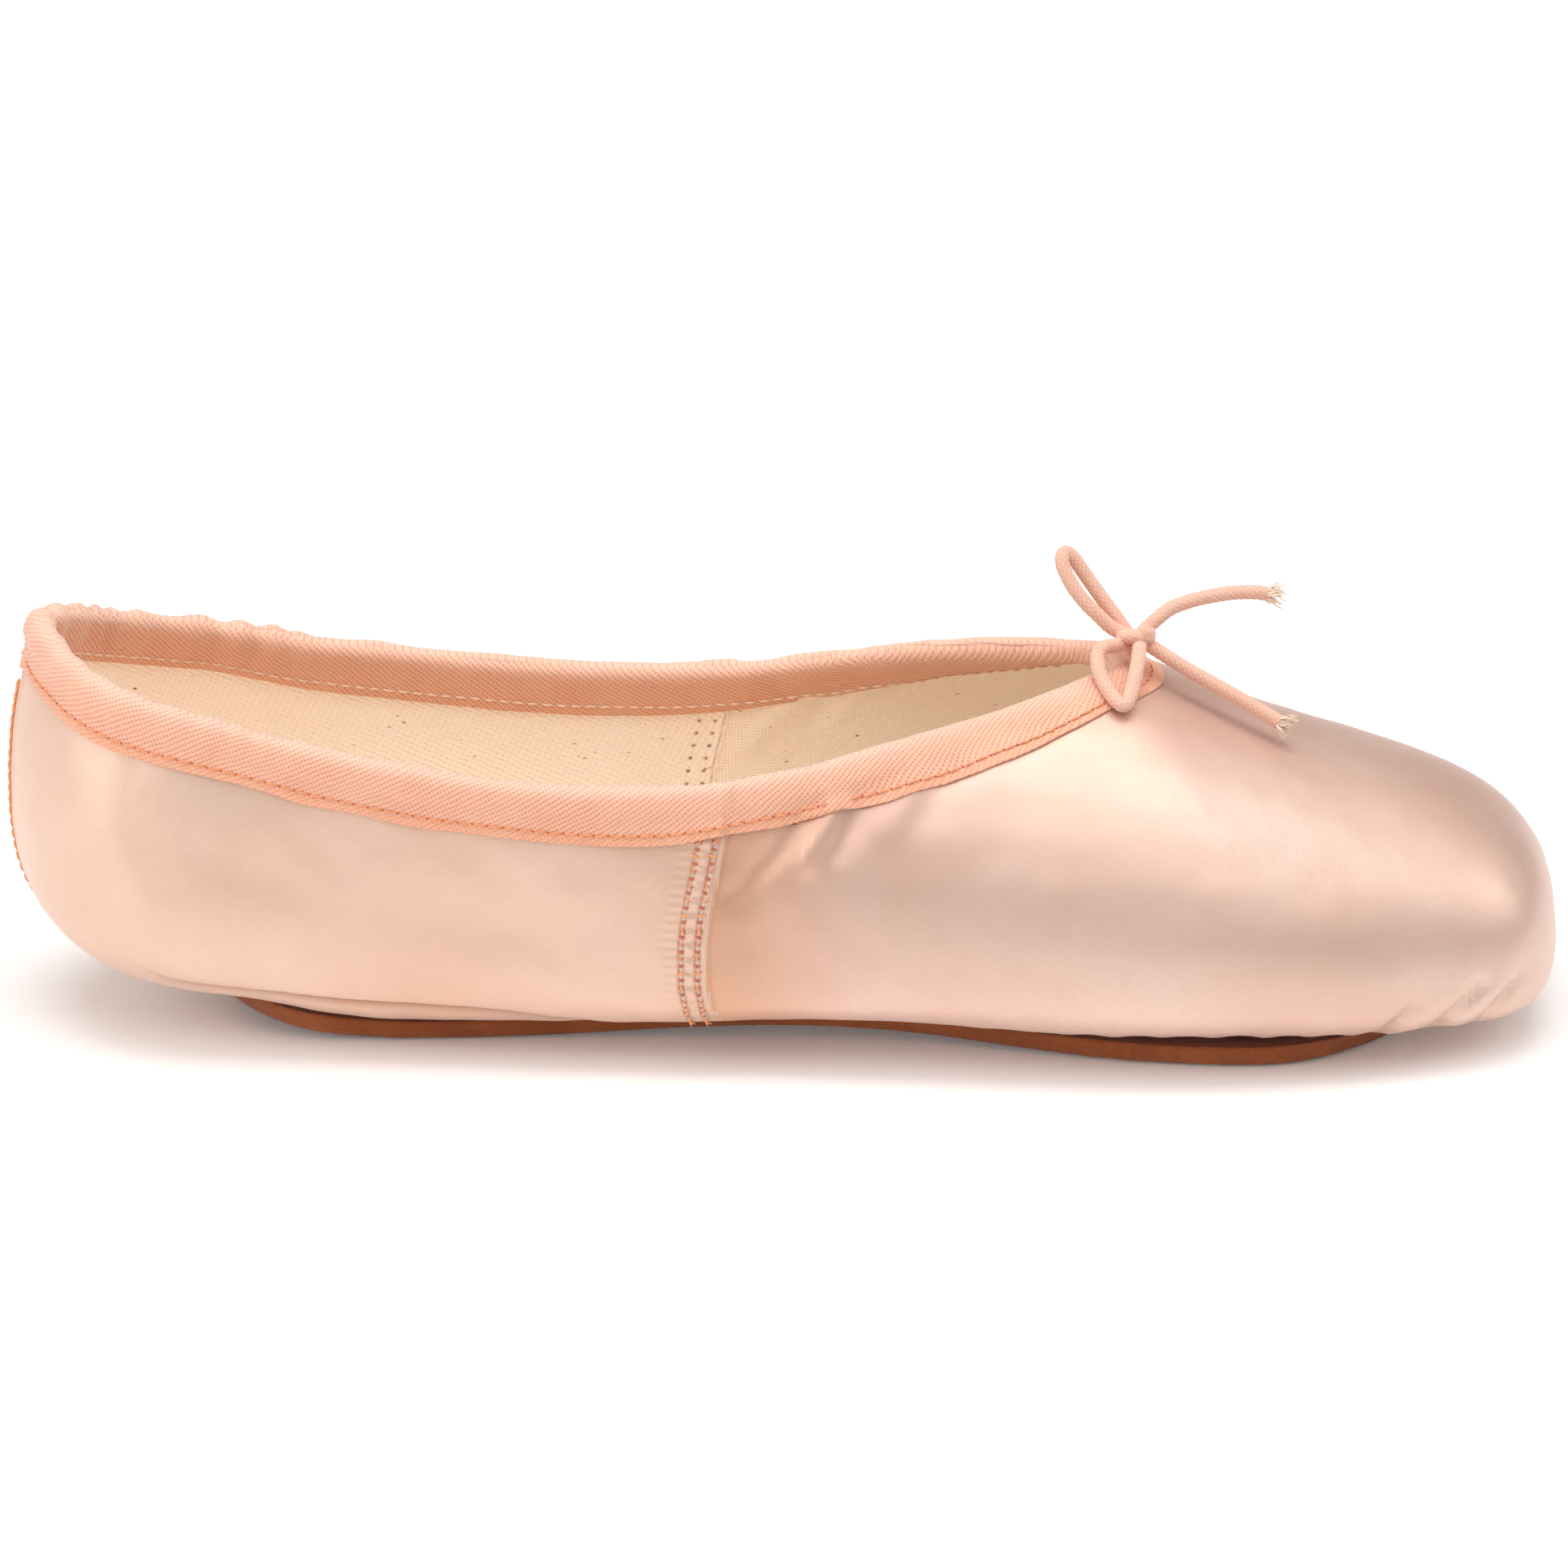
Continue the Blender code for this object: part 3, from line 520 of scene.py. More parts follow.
def curved(spots):
    """Evenly spaced points of a smooth curve through spots."""
    spots = [Vector(s) for s in spots]
    spots = [2 * spots[0] - spots[1]] + spots + [2 * spots[-1] - spots[-2]]
    fine = []
    for a, b, c, d in zip(spots, spots[1:], spots[2:], spots[3:]):
        for k in range(24):
            t = k / 24
            bend = (2 * a - 5 * b + 4 * c - d) * t * t
            twist = (3 * b - a - 3 * c + d) * t**3
            fine.append(0.5 * (2 * b + (c - a) * t + bend + twist))
    fine.append(spots[-2])
    fine = np.array(fine)
    for _ in range(12):
        fine[1:-1] = (fine[:-2] + 2 * fine[1:-1] + fine[2:]) / 4
    steps = np.linalg.norm(np.diff(fine, axis=0), axis=1)
    run = np.concatenate([[0], np.cumsum(steps)])
    at = np.linspace(0, run[-1], int(run[-1] / RING_GAP) + 1)
    return np.stack([np.interp(at, run, fine[:, k]) for k in range(3)], axis=1), run[-1]


def frames_along(path):
    """Two directions across a path at each of its points, which turn as little as they can."""
    ways = np.gradient(path, axis=0)
    ways /= np.linalg.norm(ways, axis=1)[:, None]
    side = np.cross(ways[0], (0.13, 0.31, 0.94))
    side /= np.linalg.norm(side)
    sides = []
    for way in ways:
        side = side - way * side.dot(way)
        side /= np.linalg.norm(side)
        sides.append(side)
    sides = np.array(sides)
    return sides, np.cross(ways, sides)


def braided_tube(name, path, radius):
    """A plaited cord: two sets of eight yarns that cross each other round a tube."""
    around = RING_CORNERS
    sides, ups = frames_along(path)
    steps = np.linalg.norm(np.diff(path, axis=0), axis=1)
    run = np.concatenate([[0], np.cumsum(steps)])
    turn = np.linspace(0, 2 * math.pi, around, endpoint=False)
    twist = run[:, None] * 2 * math.pi / (0.9 * radius)
    one = 8 * turn[None, :] + twist
    other = 8 * turn[None, :] - twist
    lump = np.abs(np.cos(one / 2)) * np.abs(np.cos(other / 2))
    reach = radius * (0.88 + 0.12 * lump**0.7)
    ends = np.minimum(run, run[-1] - run)[:, None] / radius
    reach = reach * np.sqrt(np.clip(1 - (1 - np.clip(ends * 1.4, 0, 1)) ** 2, 0.05, 1))
    points = (
        path[:, None]
        + sides[:, None] * (np.cos(turn)[None, :] * reach)[:, :, None]
        + ups[:, None] * (np.sin(turn)[None, :] * reach)[:, :, None]
    )
    count = len(path)
    faces = []
    for first in range(0, (count - 1) * around, around):
        for k in range(around):
            after = (k + 1) % around
            faces.append((first + k, first + after, first + around + after, first + around + k))
    faces.append(tuple(range(around))[::-1])
    faces.append(tuple((count - 1) * around + k for k in range(around)))
    made = new_piece(name, points.reshape(-1, 3), faces, BRAIDED_COTTON)
    yarn_height = made.data.attributes.new("yarn_height", "FLOAT", "POINT")
    yarn_height.data.foreach_set("value", lump.ravel())
    return made


def fray(name, tip, way, seed, tufts):
    """Yarns and loose fibres of a cut cord end, in tufts that are given by how far each leans out."""
    draw = random.Random(seed)
    way = Vector(way).normalized()
    side = way.orthogonal().normalized()
    up = way.cross(side)
    points, faces = [], []
    for number in range(FRAY_YARNS):
        lean_side, lean_up, longest = tufts[number % len(tufts)]
        turn = draw.uniform(0, 2 * math.pi)
        out = math.cos(turn) * side + math.sin(turn) * up
        root = Vector(tip) - way * 0.0009 + out * draw.uniform(0.1, 0.85) * MM
        lean = (way + side * lean_side + up * lean_up + out * draw.uniform(0.0, 0.55)).normalized()
        thick = (0.24 if number < FRAY_YARNS / 3 else 0.09) * draw.uniform(0.8, 1.2) * MM
        length = longest * draw.uniform(0.45, 1.0) * MM
        beat = draw.uniform(4.0, 8.0)
        start = draw.uniform(0, 6.28)
        swing = draw.uniform(0.1, 0.4) * MM
        first = len(points)
        for k in range(YARN_STEPS + 1):
            t = k / YARN_STEPS
            curl = (side * math.sin(start + beat * t) + up * math.cos(start + beat * t)) * swing * t
            centre = root + lean * length * t + curl
            reach = thick * (1 - 0.75 * t * t)
            points += [centre + side * reach, centre + up * reach, centre - side * reach, centre - up * reach]
        for k in range(YARN_STEPS):
            for j in range(4):
                a = first + k * 4 + j
                b = first + k * 4 + (j + 1) % 4
                faces.append((a, b, b + 4, a + 4))
        last = first + 4 * YARN_STEPS
        faces.append((first + 3, first + 2, first + 1, first))
        faces.append((last, last + 1, last + 2, last + 3))
    return new_piece(name, points, faces, FRAYED_COTTON)


CORD_RADIUS = 1.12 * MM
FAR_STRAND = [
    (165.7, -0.6, 52.9), (166.3, -0.3, 54.3), (166.5, 0.6, 55.9), (165.6, 1.6, 57.0), (164.1, 2.6, 59.0),
    (162.4, 3.6, 61.1), (160.7, 4.4, 63.3), (159.1, 5.0, 65.5), (157.7, 5.2, 67.5), (156.5, 4.9, 68.4),
    (156.0, 4.0, 67.5), (156.5, 3.2, 65.9), (157.7, 2.4, 63.8), (159.4, 1.7, 61.7), (161.4, 1.2, 59.8),
    (163.4, 0.8, 58.0), (165.9, 0.3, 56.9), (168.9, -1.4, 56.0), (171.4, -2.6, 54.7), (174.7, -3.6, 52.9),
    (177.9, -4.5, 51.3), (181.2, -5.5, 49.7), (184.4, -6.5, 48.1), (186.7, -7.3, 46.9), (188.4, -7.9, 46.0),
]
NEAR_STRAND = [
    (165.4, 0.9, 52.6), (166.3, 0.8, 54.2), (166.4, 0.4, 56.1), (165.4, -1.1, 56.3), (163.7, -3.4, 56.7),
    (161.9, -5.4, 57.1), (161.0, -7.0, 56.4), (161.1, -9.4, 54.9), (162.1, -12.0, 53.2), (163.6, -14.2, 51.8),
    (164.7, -14.9, 51.5), (165.5, -13.4, 52.4), (166.3, -10.4, 54.1), (166.9, -7.2, 55.6),
    (167.2, -4.6, 56.4), (167.4, -1.9, 56.8), (167.9, 0.3, 57.5), (170.1, 1.6, 59.2), (172.2, 2.6, 60.5),
    (175.2, 3.4, 61.4), (178.5, 4.2, 61.9), (181.6, 5.0, 62.1), (184.7, 5.8, 61.9), (187.0, 6.5, 61.3),
]
KNOT = shoe(166.8, -1.2, 57.4)
KNOT_REACH = 1.75 * MM
KNOT_SIDE = Vector((1.0, 0.0, 0.10)).normalized()
KNOT_DEPTH = Vector((0.0, -0.94, 0.34)).normalized()
KNOT_TURN_COUNT = 1.45

knot_path = []
for step in range(36):
    turn = step / 35 * KNOT_TURN_COUNT * 2 * math.pi - 0.45 * math.pi
    rise = (step / 35 - 0.5) * 0.9 * MM
    knot_path.append(
        KNOT
        + KNOT_SIDE * (KNOT_REACH * 1.12 * math.cos(turn))
        + KNOT_DEPTH * (KNOT_REACH * math.sin(turn))
        + Vector((0, 0, rise))
    )
knot_line, _ = curved(knot_path)
knot = braided_tube("bow_knot", knot_line, CORD_RADIUS * 0.95)
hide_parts("drawstring_knot")

# Each tuft of a frayed end: its lean to the two sides and its longest yarn in millimetres.
HIGH_TUFTS = [(0.0, 1.3, 3.9), (0.1, -0.9, 4.1), (0.5, 0.2, 3.2), (-0.5, 0.5, 3.4), (0.0, -0.3, 4.3)]
LOW_TUFTS = [(0.4, 0.7, 2.9), (0.0, -0.6, 2.6), (-0.5, 0.3, 3.0), (0.2, 0.0, 3.2)]
far_line, far_length = curved([shoe(*spot) for spot in FAR_STRAND])
far_strand = braided_tube("bow_far_strand", far_line, CORD_RADIUS)
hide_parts("drawstring_loop_far", "drawstring_end_low")
far_fray = fray("bow_low_end_fray", far_line[-1], far_line[-1] - far_line[-9], 11, LOW_TUFTS)
near_line, near_length = curved([shoe(*spot) for spot in NEAR_STRAND])
near_strand = braided_tube("bow_near_strand", near_line, CORD_RADIUS)
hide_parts("drawstring_loop_near", "drawstring_end_high")
near_fray = fray("bow_high_end_fray", near_line[-1], near_line[-1] - near_line[-9], 23, HIGH_TUFTS)
for strand, line, length, on_it in (
    (far_strand, far_line, far_length, [far_fray, knot]),
    (near_strand, near_line, near_length, [near_fray]),
):
    [tuple(p) for p in line[::12]] + [tuple(line[-1])]


# Upper
def sharpen_steps(mesh):
    """Keeps the side seam's and the heel tape's short steps crisp when the surface is made finer."""
    work = bmesh.new()
    work.from_mesh(mesh)
    layer = work.edges.layers.float.new("crease_edge")
    stepped = set()
    for edge in work.edges:
        if edge.calc_length() < 0.00085 and edge.verts[0].co.z > 0.004:
            stepped.update(edge.verts)
    for edge in work.edges:
        if edge.calc_length() > 0.00085 and edge.verts[0] in stepped and edge.verts[1] in stepped:
            edge[layer] = 0.9
    work.to_mesh(mesh)
    work.free()


def sharpen_rims(mesh):
    """Keeps the rims of a thin plate from rounding away when its surface is made finer."""
    work = bmesh.new()
    work.from_mesh(mesh)
    layer = work.edges.layers.float.new("crease_edge")
    for edge in work.edges:
        if len(edge.link_faces) == 2 and edge.calc_face_angle() > 0.75:
            edge[layer] = 0.7
    work.to_mesh(mesh)
    work.free()


def is_outer(points, normals):
    """Which places are on the outside of the wall, by whether their normal points out of the shoe."""
    spine = np.stack(
        [
            np.clip(points[:, 0], -0.080, 0.086),
            np.zeros(len(points)),
            np.full(len(points), 0.020),
        ],
        axis=1,
    )
    return ((points - spine) * normals).sum(axis=1) > 0


# The side seam: heights and how far from the heel, in millimetres.
SEAM_EDGE = [
    (8.0, 105.4), (10.8, 104.7), (14.7, 104.0), (21.0, 104.0), (26.0, 104.6), (30.5, 105.6), (37.1, 107.0),
]


def seam_line(height):
    """Where the side seam is, in metres, at a height."""
    heights, fronts = zip(*SEAM_EDGE)
    return HEEL_X + np.interp(height / MM, heights, fronts) * MM


# Soft creases on both sides: ends as millimetres from the heel and up, the half width, and how far
# the middle moves out for a ridge or in for a trough.
CREASES = [
    ((123.0, 41.6), (118.4, 32.4), 1.35, 1.00),
    ((119.6, 41.2), (108.2, 28.2), 1.8, -1.00),
    ((114.5, 39.0), (107.0, 33.0), 1.8, -0.20),
    ((127.4, 42.8), (123.0, 34.4), 1.7, -0.78),
    ((134.6, 44.4), (130.4, 37.4), 1.9, 0.62),
    ((139.4, 45.2), (136.4, 39.8), 2.0, -0.30),
    ((146.0, 46.4), (143.6, 41.6), 2.4, 0.22),
    ((206.6, 12.0), (202.0, 6.2), 0.8, -1.15),
    ((209.0, 11.4), (205.6, 7.0), 1.5, 0.35),
    ((216.4, 13.6), (209.4, 6.2), 0.8, -1.25),
    ((219.4, 12.6), (213.4, 6.6), 1.4, 0.38),
    ((223.6, 14.0), (215.6, 6.2), 0.8, -1.10),
    ((225.4, 14.0), (221.8, 8.5), 0.9, -0.28),
    ((28.0, 34.0), (46.0, 27.0), 4.0, -0.30),
    ((22.0, 27.0), (42.0, 20.0), 4.0, 0.25),
    ((16.0, 36.0), (24.0, 18.0), 3.4, 0.25),
    ((60.0, 25.0), (86.0, 20.0), 5.0, -0.25),
    ((64.0, 18.0), (84.0, 14.0), 4.0, 0.20),
    ((109.5, 31.0), (112.5, 13.0), 5.0, -0.80),
]
# The quarter's turned fold: above this line the satin stands out, and under it it tucks in.
TUCK_LINE = [
    (13.0, 17.5), (25.0, 12.4), (36.0, 11.3), (48.0, 10.7),
    (62.0, 10.2), (75.0, 9.4), (86.0, 7.8), (95.0, 6.0),
]
TUCK_DEPTH = 0.50 * MM
PUFF_PITCH = 6.5
PLEAT_DEPTH = 0.30 * MM
PLEAT_COUNT = 11


def creased(points):
    """How far out the creases move each place."""
    moved = np.zeros(len(points))
    for (x1, z1), (x2, z2), half, depth in CREASES:
        start = np.array([HEEL_X + x1 * MM, z1 * MM])
        way = np.array([(x2 - x1) * MM, (z2 - z1) * MM])
        flat = points[:, [0, 2]] - start
        share = np.clip(flat @ way / (way @ way), 0, 1)
        away = np.linalg.norm(flat - share[:, None] * way, axis=1)
        along = 0.35 + 0.65 * np.sin(math.pi * (0.15 + 0.7 * share))
        moved += np.exp(-((away / (half * MM)) ** 2)) * along * depth * MM
    return moved


def fold_place(points):
    """How far each place is above the quarter's turned fold, and how much of the fold is there."""
    fronts, heights = zip(*TUCK_LINE)
    from_heel = (points[:, 0] - HEEL_X) / MM
    line = np.interp(from_heel, fronts, heights) * MM
    reach = ease((from_heel - fronts[0] - 6) / 14) * ease((fronts[-1] - from_heel) / 12)
    return points[:, 2] - line, reach


def tucked(points):
    """How far in the satin of the quarters goes under its turned fold."""
    above, reach = fold_place(points)
    under = ease(-above / (0.6 * MM)) * ease((above + 3.2 * MM) / (1.8 * MM))
    over = np.exp(-(((above - 0.7 * MM) / (1.1 * MM)) ** 2))
    return reach * (0.18 * MM * over - TUCK_DEPTH * under)


def scalloped(points):
    """Small puffs where the satin is drawn in over the edge of the sole."""
    from_heel = (points[:, 0] - HEEL_X) / MM
    low = ease((7.5 * MM - points[:, 2]) / (3.0 * MM))
    reach = ease((from_heel - 108) / 12) * ease((214 - from_heel) / 8)
    beat = np.sin(from_heel / PUFF_PITCH * WAVES + 1.5 * np.sin(from_heel / 11.0))
    return 0.30 * MM * low * reach * beat


def draped(points):
    """The soft unevenness of the satin over the lining."""
    fine = 0.10 * MM * waviness(points, 0.005, 2)
    quarter = ease((0.000 - points[:, 0]) / 0.02)
    return 0.16 * MM * waviness(points, 0.013, 1) + fine + 0.16 * MM * quarter * waviness(points, 0.017, 3)


upper = fine_copy("upper", "satin_upper", sharpen_steps, 2.9 * MM)
points = places(upper.data)
normals = directions(upper.data)
outer = is_outer(points, normals)
fan = np.arctan2(np.abs(points[:, 1]), points[:, 0] - 0.070)
under_toe = ease((points[:, 0] - 0.068) / 0.02) * ease((0.010 - points[:, 2]) / 0.006)
pleats = -PLEAT_DEPTH * under_toe * np.abs(np.cos(fan * PLEAT_COUNT)) ** 0.8
edge_fade = ease((points[:, 2] - 0.003) / 0.003)
out = (creased(points) + tucked(points) + scalloped(points) + draped(points)) * edge_fade + pleats
inner = 0.10 * MM * waviness(points, 0.009, 5) - 0.85 * creased(points) * edge_fade
put_back(upper.data, points + normals * np.where(outer, out, inner)[:, None])
spread(upper.data, cloth_places(points))
seam_distance = upper.data.attributes.new("from_seam", "FLOAT", "POINT")
seam_distance.data.foreach_set("value", points[:, 0] - seam_line(points[:, 2]))
above_fold, fold_reach = fold_place(points)
for word, amounts in (("from_fold", above_fold), ("fold_reach", fold_reach)):
    upper.data.attributes.new(word, "FLOAT", "POINT").data.foreach_set("value", amounts)
for finish in (VAMP_SATIN, QUARTER_SATIN, QUARTER_LINING, VAMP_LINING):
    upper.data.materials.append(finish)
for face in upper.data.polygons:
    outside = outer[list(face.vertices)].mean() > 0.5
    in_quarter = face.center.x < seam_line(face.center.z)
    face.material_index = (1 if in_quarter else 0) if outside else (2 if in_quarter else 3)


def tree_of(mesh, keep=None):
    """A search tree of a mesh's faces, or of those that a test keeps."""
    corners = [v.co for v in mesh.vertices]
    faces = [tuple(f.vertices) for f in mesh.polygons if keep is None or keep(f)]
    return BVHTree.FromPolygons(corners, faces)


outer_skin = tree_of(upper.data, lambda face: face.material_index < 2)

# Binding
# How far above the satin the tape's outer and inner faces lie, at least and at most.
FLAP_TOP = (0.30 * MM, 0.45 * MM)
FLAP_UNDERSIDE = (0.02 * MM, 0.10 * MM)
# How long the tape's gathers and its slow waves are, and how much wider it is over the vamp.
GATHER_PITCH = 0.0058
SLOW_PITCH = 0.023
SLOWER_PITCH = 0.061
WIDER_ON_VAMP = 1.5 * MM
binding = fine_copy("binding", "collar_binding", sharpen_rims)
points = places(binding.data)


def collar_ridge(points):
    """The top of the binding's roll as a closed line, and the length of that line."""
    turn = np.arctan2(points[:, 1] / 0.030, (points[:, 0] + 0.031) / 0.082)
    marks = np.linspace(-math.pi, math.pi, 145)[:-1]
    found = []
    for mark in marks:
        gap = np.abs((turn - mark + math.pi) % (2 * math.pi) - math.pi)
        chosen = np.where(gap < 0.05)[0]
        best = chosen[np.argmax(points[chosen, 2])]
        found.append(points[best])
    found = np.array(found)
    for _ in range(3):
        found = (np.roll(found, 1, axis=0) + 2 * found + np.roll(found, -1, axis=0)) / 4
    closed = np.vstack([found, found[:1]])
    run = np.concatenate([[0], np.cumsum(np.linalg.norm(np.diff(closed, axis=0), axis=1))])
    at = np.linspace(0, run[-1], 721)
    return np.stack([np.interp(at, run, closed[:, k]) for k in range(3)], axis=1)[:-1], run[-1]


ridge, collar_length = collar_ridge(points)
ridge_ways = np.roll(ridge, -2, axis=0) - np.roll(ridge, 2, axis=0)
ridge_ways /= np.linalg.norm(ridge_ways, axis=1)[:, None]
ridge_outs = np.cross(ridge_ways, (0, 0, 1))
ridge_outs /= np.linalg.norm(ridge_outs, axis=1)[:, None]
ridge_normals = []
for place, out in zip(ridge, ridge_outs):
    probe = Vector(place) + Vector(out) * 0.003 - Vector((0, 0, 0.004))
    hit = outer_skin.find_nearest(probe)
    ridge_normals.append(np.array(hit[1]))
ridge_normals = np.array(ridge_normals)
for _ in range(6):
    ridge_normals = np.roll(ridge_normals, 1, axis=0) + 2 * ridge_normals + np.roll(ridge_normals, -1, axis=0)
    ridge_normals /= np.linalg.norm(ridge_normals, axis=1)[:, None]
ridge_downs = np.cross(ridge_normals, ridge_ways)
ridge_downs *= np.sign((ridge_downs * (ridge_outs - np.array([0, 0, 1.0]))).sum(axis=1))[:, None]
ridge_downs /= np.linalg.norm(ridge_downs, axis=1)[:, None]

nearest = np.argmin(((points[:, None, :] - ridge[None, ::4, :]) ** 2).sum(axis=2), axis=1) * 4
offset = points - ridge[nearest]
run = nearest / len(ridge) * collar_length + (offset * ridge_ways[nearest]).sum(axis=1)
down = (offset * ridge_downs[nearest]).sum(axis=1)
out = (offset * ridge_normals[nearest]).sum(axis=1)
outer_part = out > -0.0012
spread(binding.data, np.stack([run, np.where(outer_part, down, -down)], axis=1))
normals = directions(binding.data)
behind = ease((-0.066 - points[:, 0]) / 0.014)
far_behind = behind * ease(points[:, 1] / 0.004)
ripple = np.sin(run / GATHER_PITCH * WAVES + 5.0 * waviness(points * (1, 1, 0), 0.013, 8))
top = ease((down + 0.004) / 0.002) * ease((0.007 - down) / 0.003)
gather = (0.03 + 0.17 * behind + 0.16 * far_behind) * MM * ripple * top
rumple = 0.12 * MM * waviness(points, 0.004, 9) + 0.12 * MM * waviness(points, 0.011, 10)
slow_wave = run / SLOW_PITCH * WAVES + 1.9 * np.sin(run / SLOWER_PITCH * WAVES)
hem = np.sin(slow_wave) * 0.20 * MM * ease((down - 0.003) / 0.004)
flap = ease((down - 0.0035) / 0.002) * outer_part
follow = (creased(points) + draped(points)) * flap
puff = np.sin(slow_wave + 0.6) * 0.18 * MM * outer_part * top
moved = points + normals * (gather + rumple + puff)[:, None] + ridge_normals[nearest] * follow[:, None]
wider = WIDER_ON_VAMP * ease((points[:, 0] - 0.002) / 0.030) * ease((down - 0.004) / 0.0035)
wider *= 1 - ease((points[:, 0] - 0.041) / 0.007)
moved = moved + ridge_downs[nearest] * ((hem + wider) * outer_part)[:, None]
top_side = (normals * ridge_normals[nearest]).sum(axis=1) > 0
for k in np.where(flap > 0.01)[0]:
    place, skin_way, _, _ = outer_skin.find_nearest(Vector(moved[k]))
    skin_way = np.array(skin_way)
    above = float((moved[k] - np.array(place)) @ skin_way)
    low, high = FLAP_TOP if top_side[k] else FLAP_UNDERSIDE
    moved[k] += skin_way * (min(max(above, low), high) - above) * flap[k]
put_back(binding.data, moved)
reached = ((moved - ridge[nearest]) * ridge_downs[nearest]).sum(axis=1)
hem_line = np.array([reached[(nearest == k) & outer_part].max() for k in range(0, len(ridge), 4)])
for _ in range(3):
    hem_line = (np.roll(hem_line, 1) + 2 * hem_line + np.roll(hem_line, -1)) / 4
from_hem = np.where(outer_part, hem_line[nearest // 4] - reached, 0.01)
binding.data.attributes.new("from_hem", "FLOAT", "POINT").data.foreach_set("value", from_hem)
binding.data.materials.append(BINDING_TWILL)
binding_skin = tree_of(binding.data)


# Stitches
def thread_shape():
    """One stitch as a short capsule of six sides, lying along X, with unit half length."""
    bpy.ops.object.select_all(action="DESELECT")
    bpy.ops.mesh.primitive_uv_sphere_add(segments=6, ring_count=6, radius=1.0, rotation=(0, math.pi / 2, 0))
    made = bpy.context.object
    bpy.ops.object.transform_apply(location=True, rotation=True, scale=True)
    shape = places(made.data)
    faces = [tuple(face.vertices) for face in made.data.polygons]
    bpy.data.objects.remove(made, do_unlink=True)
    return shape, faces


STITCH_SHAPE, STITCH_FACES = thread_shape()


def stitches(name, row, material, length, thick):
    """Stitches along rows of (place, way, outward) triples, each sunk by half its thickness."""
    points, faces = [], []
    draw = random.Random(len(row))
    for place, way, outward in row:
        way = np.array(way) + np.array([draw.uniform(-0.06, 0.06) for _ in range(3)])
        way /= np.linalg.norm(way)
        outward = np.array(outward) - way * np.dot(outward, way)
        outward /= np.linalg.norm(outward)
        side = np.cross(way, outward)
        half = length / 2 * draw.uniform(0.9, 1.08)
        base = np.array(place) + outward * thick * 0.3
        first = len(points)
        for x, y, z in STITCH_SHAPE:
            arch = thick * 0.5 * (1 - x * x)
            points.append(base + way * x * half + side * y * thick + outward * (z * thick + arch))
        faces += [tuple(first + k for k in face) for face in STITCH_FACES]
    return new_piece(name, points, faces, material)


def row_on(tree, starts, ways, pitch):
    """Places at an even pitch along a line of rays that meet a surface."""
    hits = []
    for start, way in zip(starts, ways):
        hit = tree.ray_cast(Vector(start), Vector(way))
        if hit[0] is not None:
            hits.append((np.array(hit[0]), np.array(hit[1])))
    line = np.array([h[0] for h in hits])
    outs = np.array([h[1] for h in hits])
    for _ in range(4):
        line[1:-1] = (line[:-2] + 2 * line[1:-1] + line[2:]) / 4
        outs[1:-1] = (outs[:-2] + 2 * outs[1:-1] + outs[2:]) / 4
    along = np.concatenate([[0], np.cumsum(np.linalg.norm(np.diff(line, axis=0), axis=1))])
    row = []
    for at in np.arange(pitch / 2, along[-1], pitch):
        place = [np.interp(at, along, line[:, k]) for k in range(3)]
        outward = np.array([np.interp(at, along, outs[:, k]) for k in range(3)])
        ahead = [np.interp(min(at + pitch / 4, along[-1]), along, line[:, k]) for k in range(3)]
        back = [np.interp(max(at - pitch / 4, 0), along, line[:, k]) for k in range(3)]
        snapped = tree.find_nearest(Vector(place))
        row.append((np.array(snapped[0]), np.array(ahead) - np.array(back), outward))
    return row


def binding_row(depth, outside):
    """Places of the stitches: above the tape's hem outside, or below the roll's top inside."""
    closed = np.arange(0, len(ridge) + 1, 3) % len(ridge)
    lower = hem_line[closed // 4] - depth if outside else depth
    away = 0.006 if outside else -0.007
    starts = ridge[closed] + ridge_downs[closed] * np.reshape(lower, (-1, 1)) + ridge_normals[closed] * away
    row = row_on(binding_skin, starts, -np.sign(away) * ridge_normals[closed], STITCH_PITCH)
    turned = []
    for place, _, outward in row:
        closest = np.argmin(((ridge - place) ** 2).sum(axis=1))
        turned.append((place, ridge_ways[closest], outward))
    return turned


def holes(name, row, material, size, slot="satin"):
    """Needle holes as small flat beads, sunk at the ends of the stitches of a row."""
    sunk = []
    for (place, way, outward), (after, _, _) in zip(row, row[1:]):
        sunk.append(((np.array(place) + np.array(after)) / 2 - outward * size * 0.35, way, outward))
    return stitches(name, sunk, material, length=2.1 * size, thick=size * 0.8)


outside_row = binding_row(HEM_STRIP, True)
stitches("binding_stitches", outside_row, SEAM_THREAD, length=1.8 * MM, thick=THREAD_RADIUS)
holes("binding_needle_holes", outside_row, HOLE_SHADE, 0.24 * MM, slot="twill")
inside_row = binding_row(6.4 * MM, False)
stitches("binding_stitches_inside", inside_row, PALE_THREAD, length=1.6 * MM, thick=0.2 * MM)

for number, offset in enumerate(ROW_PLACES):
    heights = np.linspace(39.0, 6.5, 60)
    fronts = (seam_line(heights * MM) + offset - HEEL_X) / MM
    for side, word in ((-1, "near"), (1, "far")):
        starts = [shoe(x, side * 60, z) for x, z in zip(fronts, heights)]
        ways = [Vector((0, -side, 0))] * len(starts)
        row = row_on(outer_skin, starts, ways, STITCH_PITCH)
        sunk = [(np.array(p) - np.array(o) * 0.06 * MM, w, o) for p, w, o in row]
        stitches(f"side_seam_stitches_{word}_{number + 1}", sunk, SEAM_THREAD, 1.7 * MM, THREAD_RADIUS)
        holes(f"side_seam_holes_{word}_{number + 1}", sunk, HOLE_SHADE, 0.32 * MM)

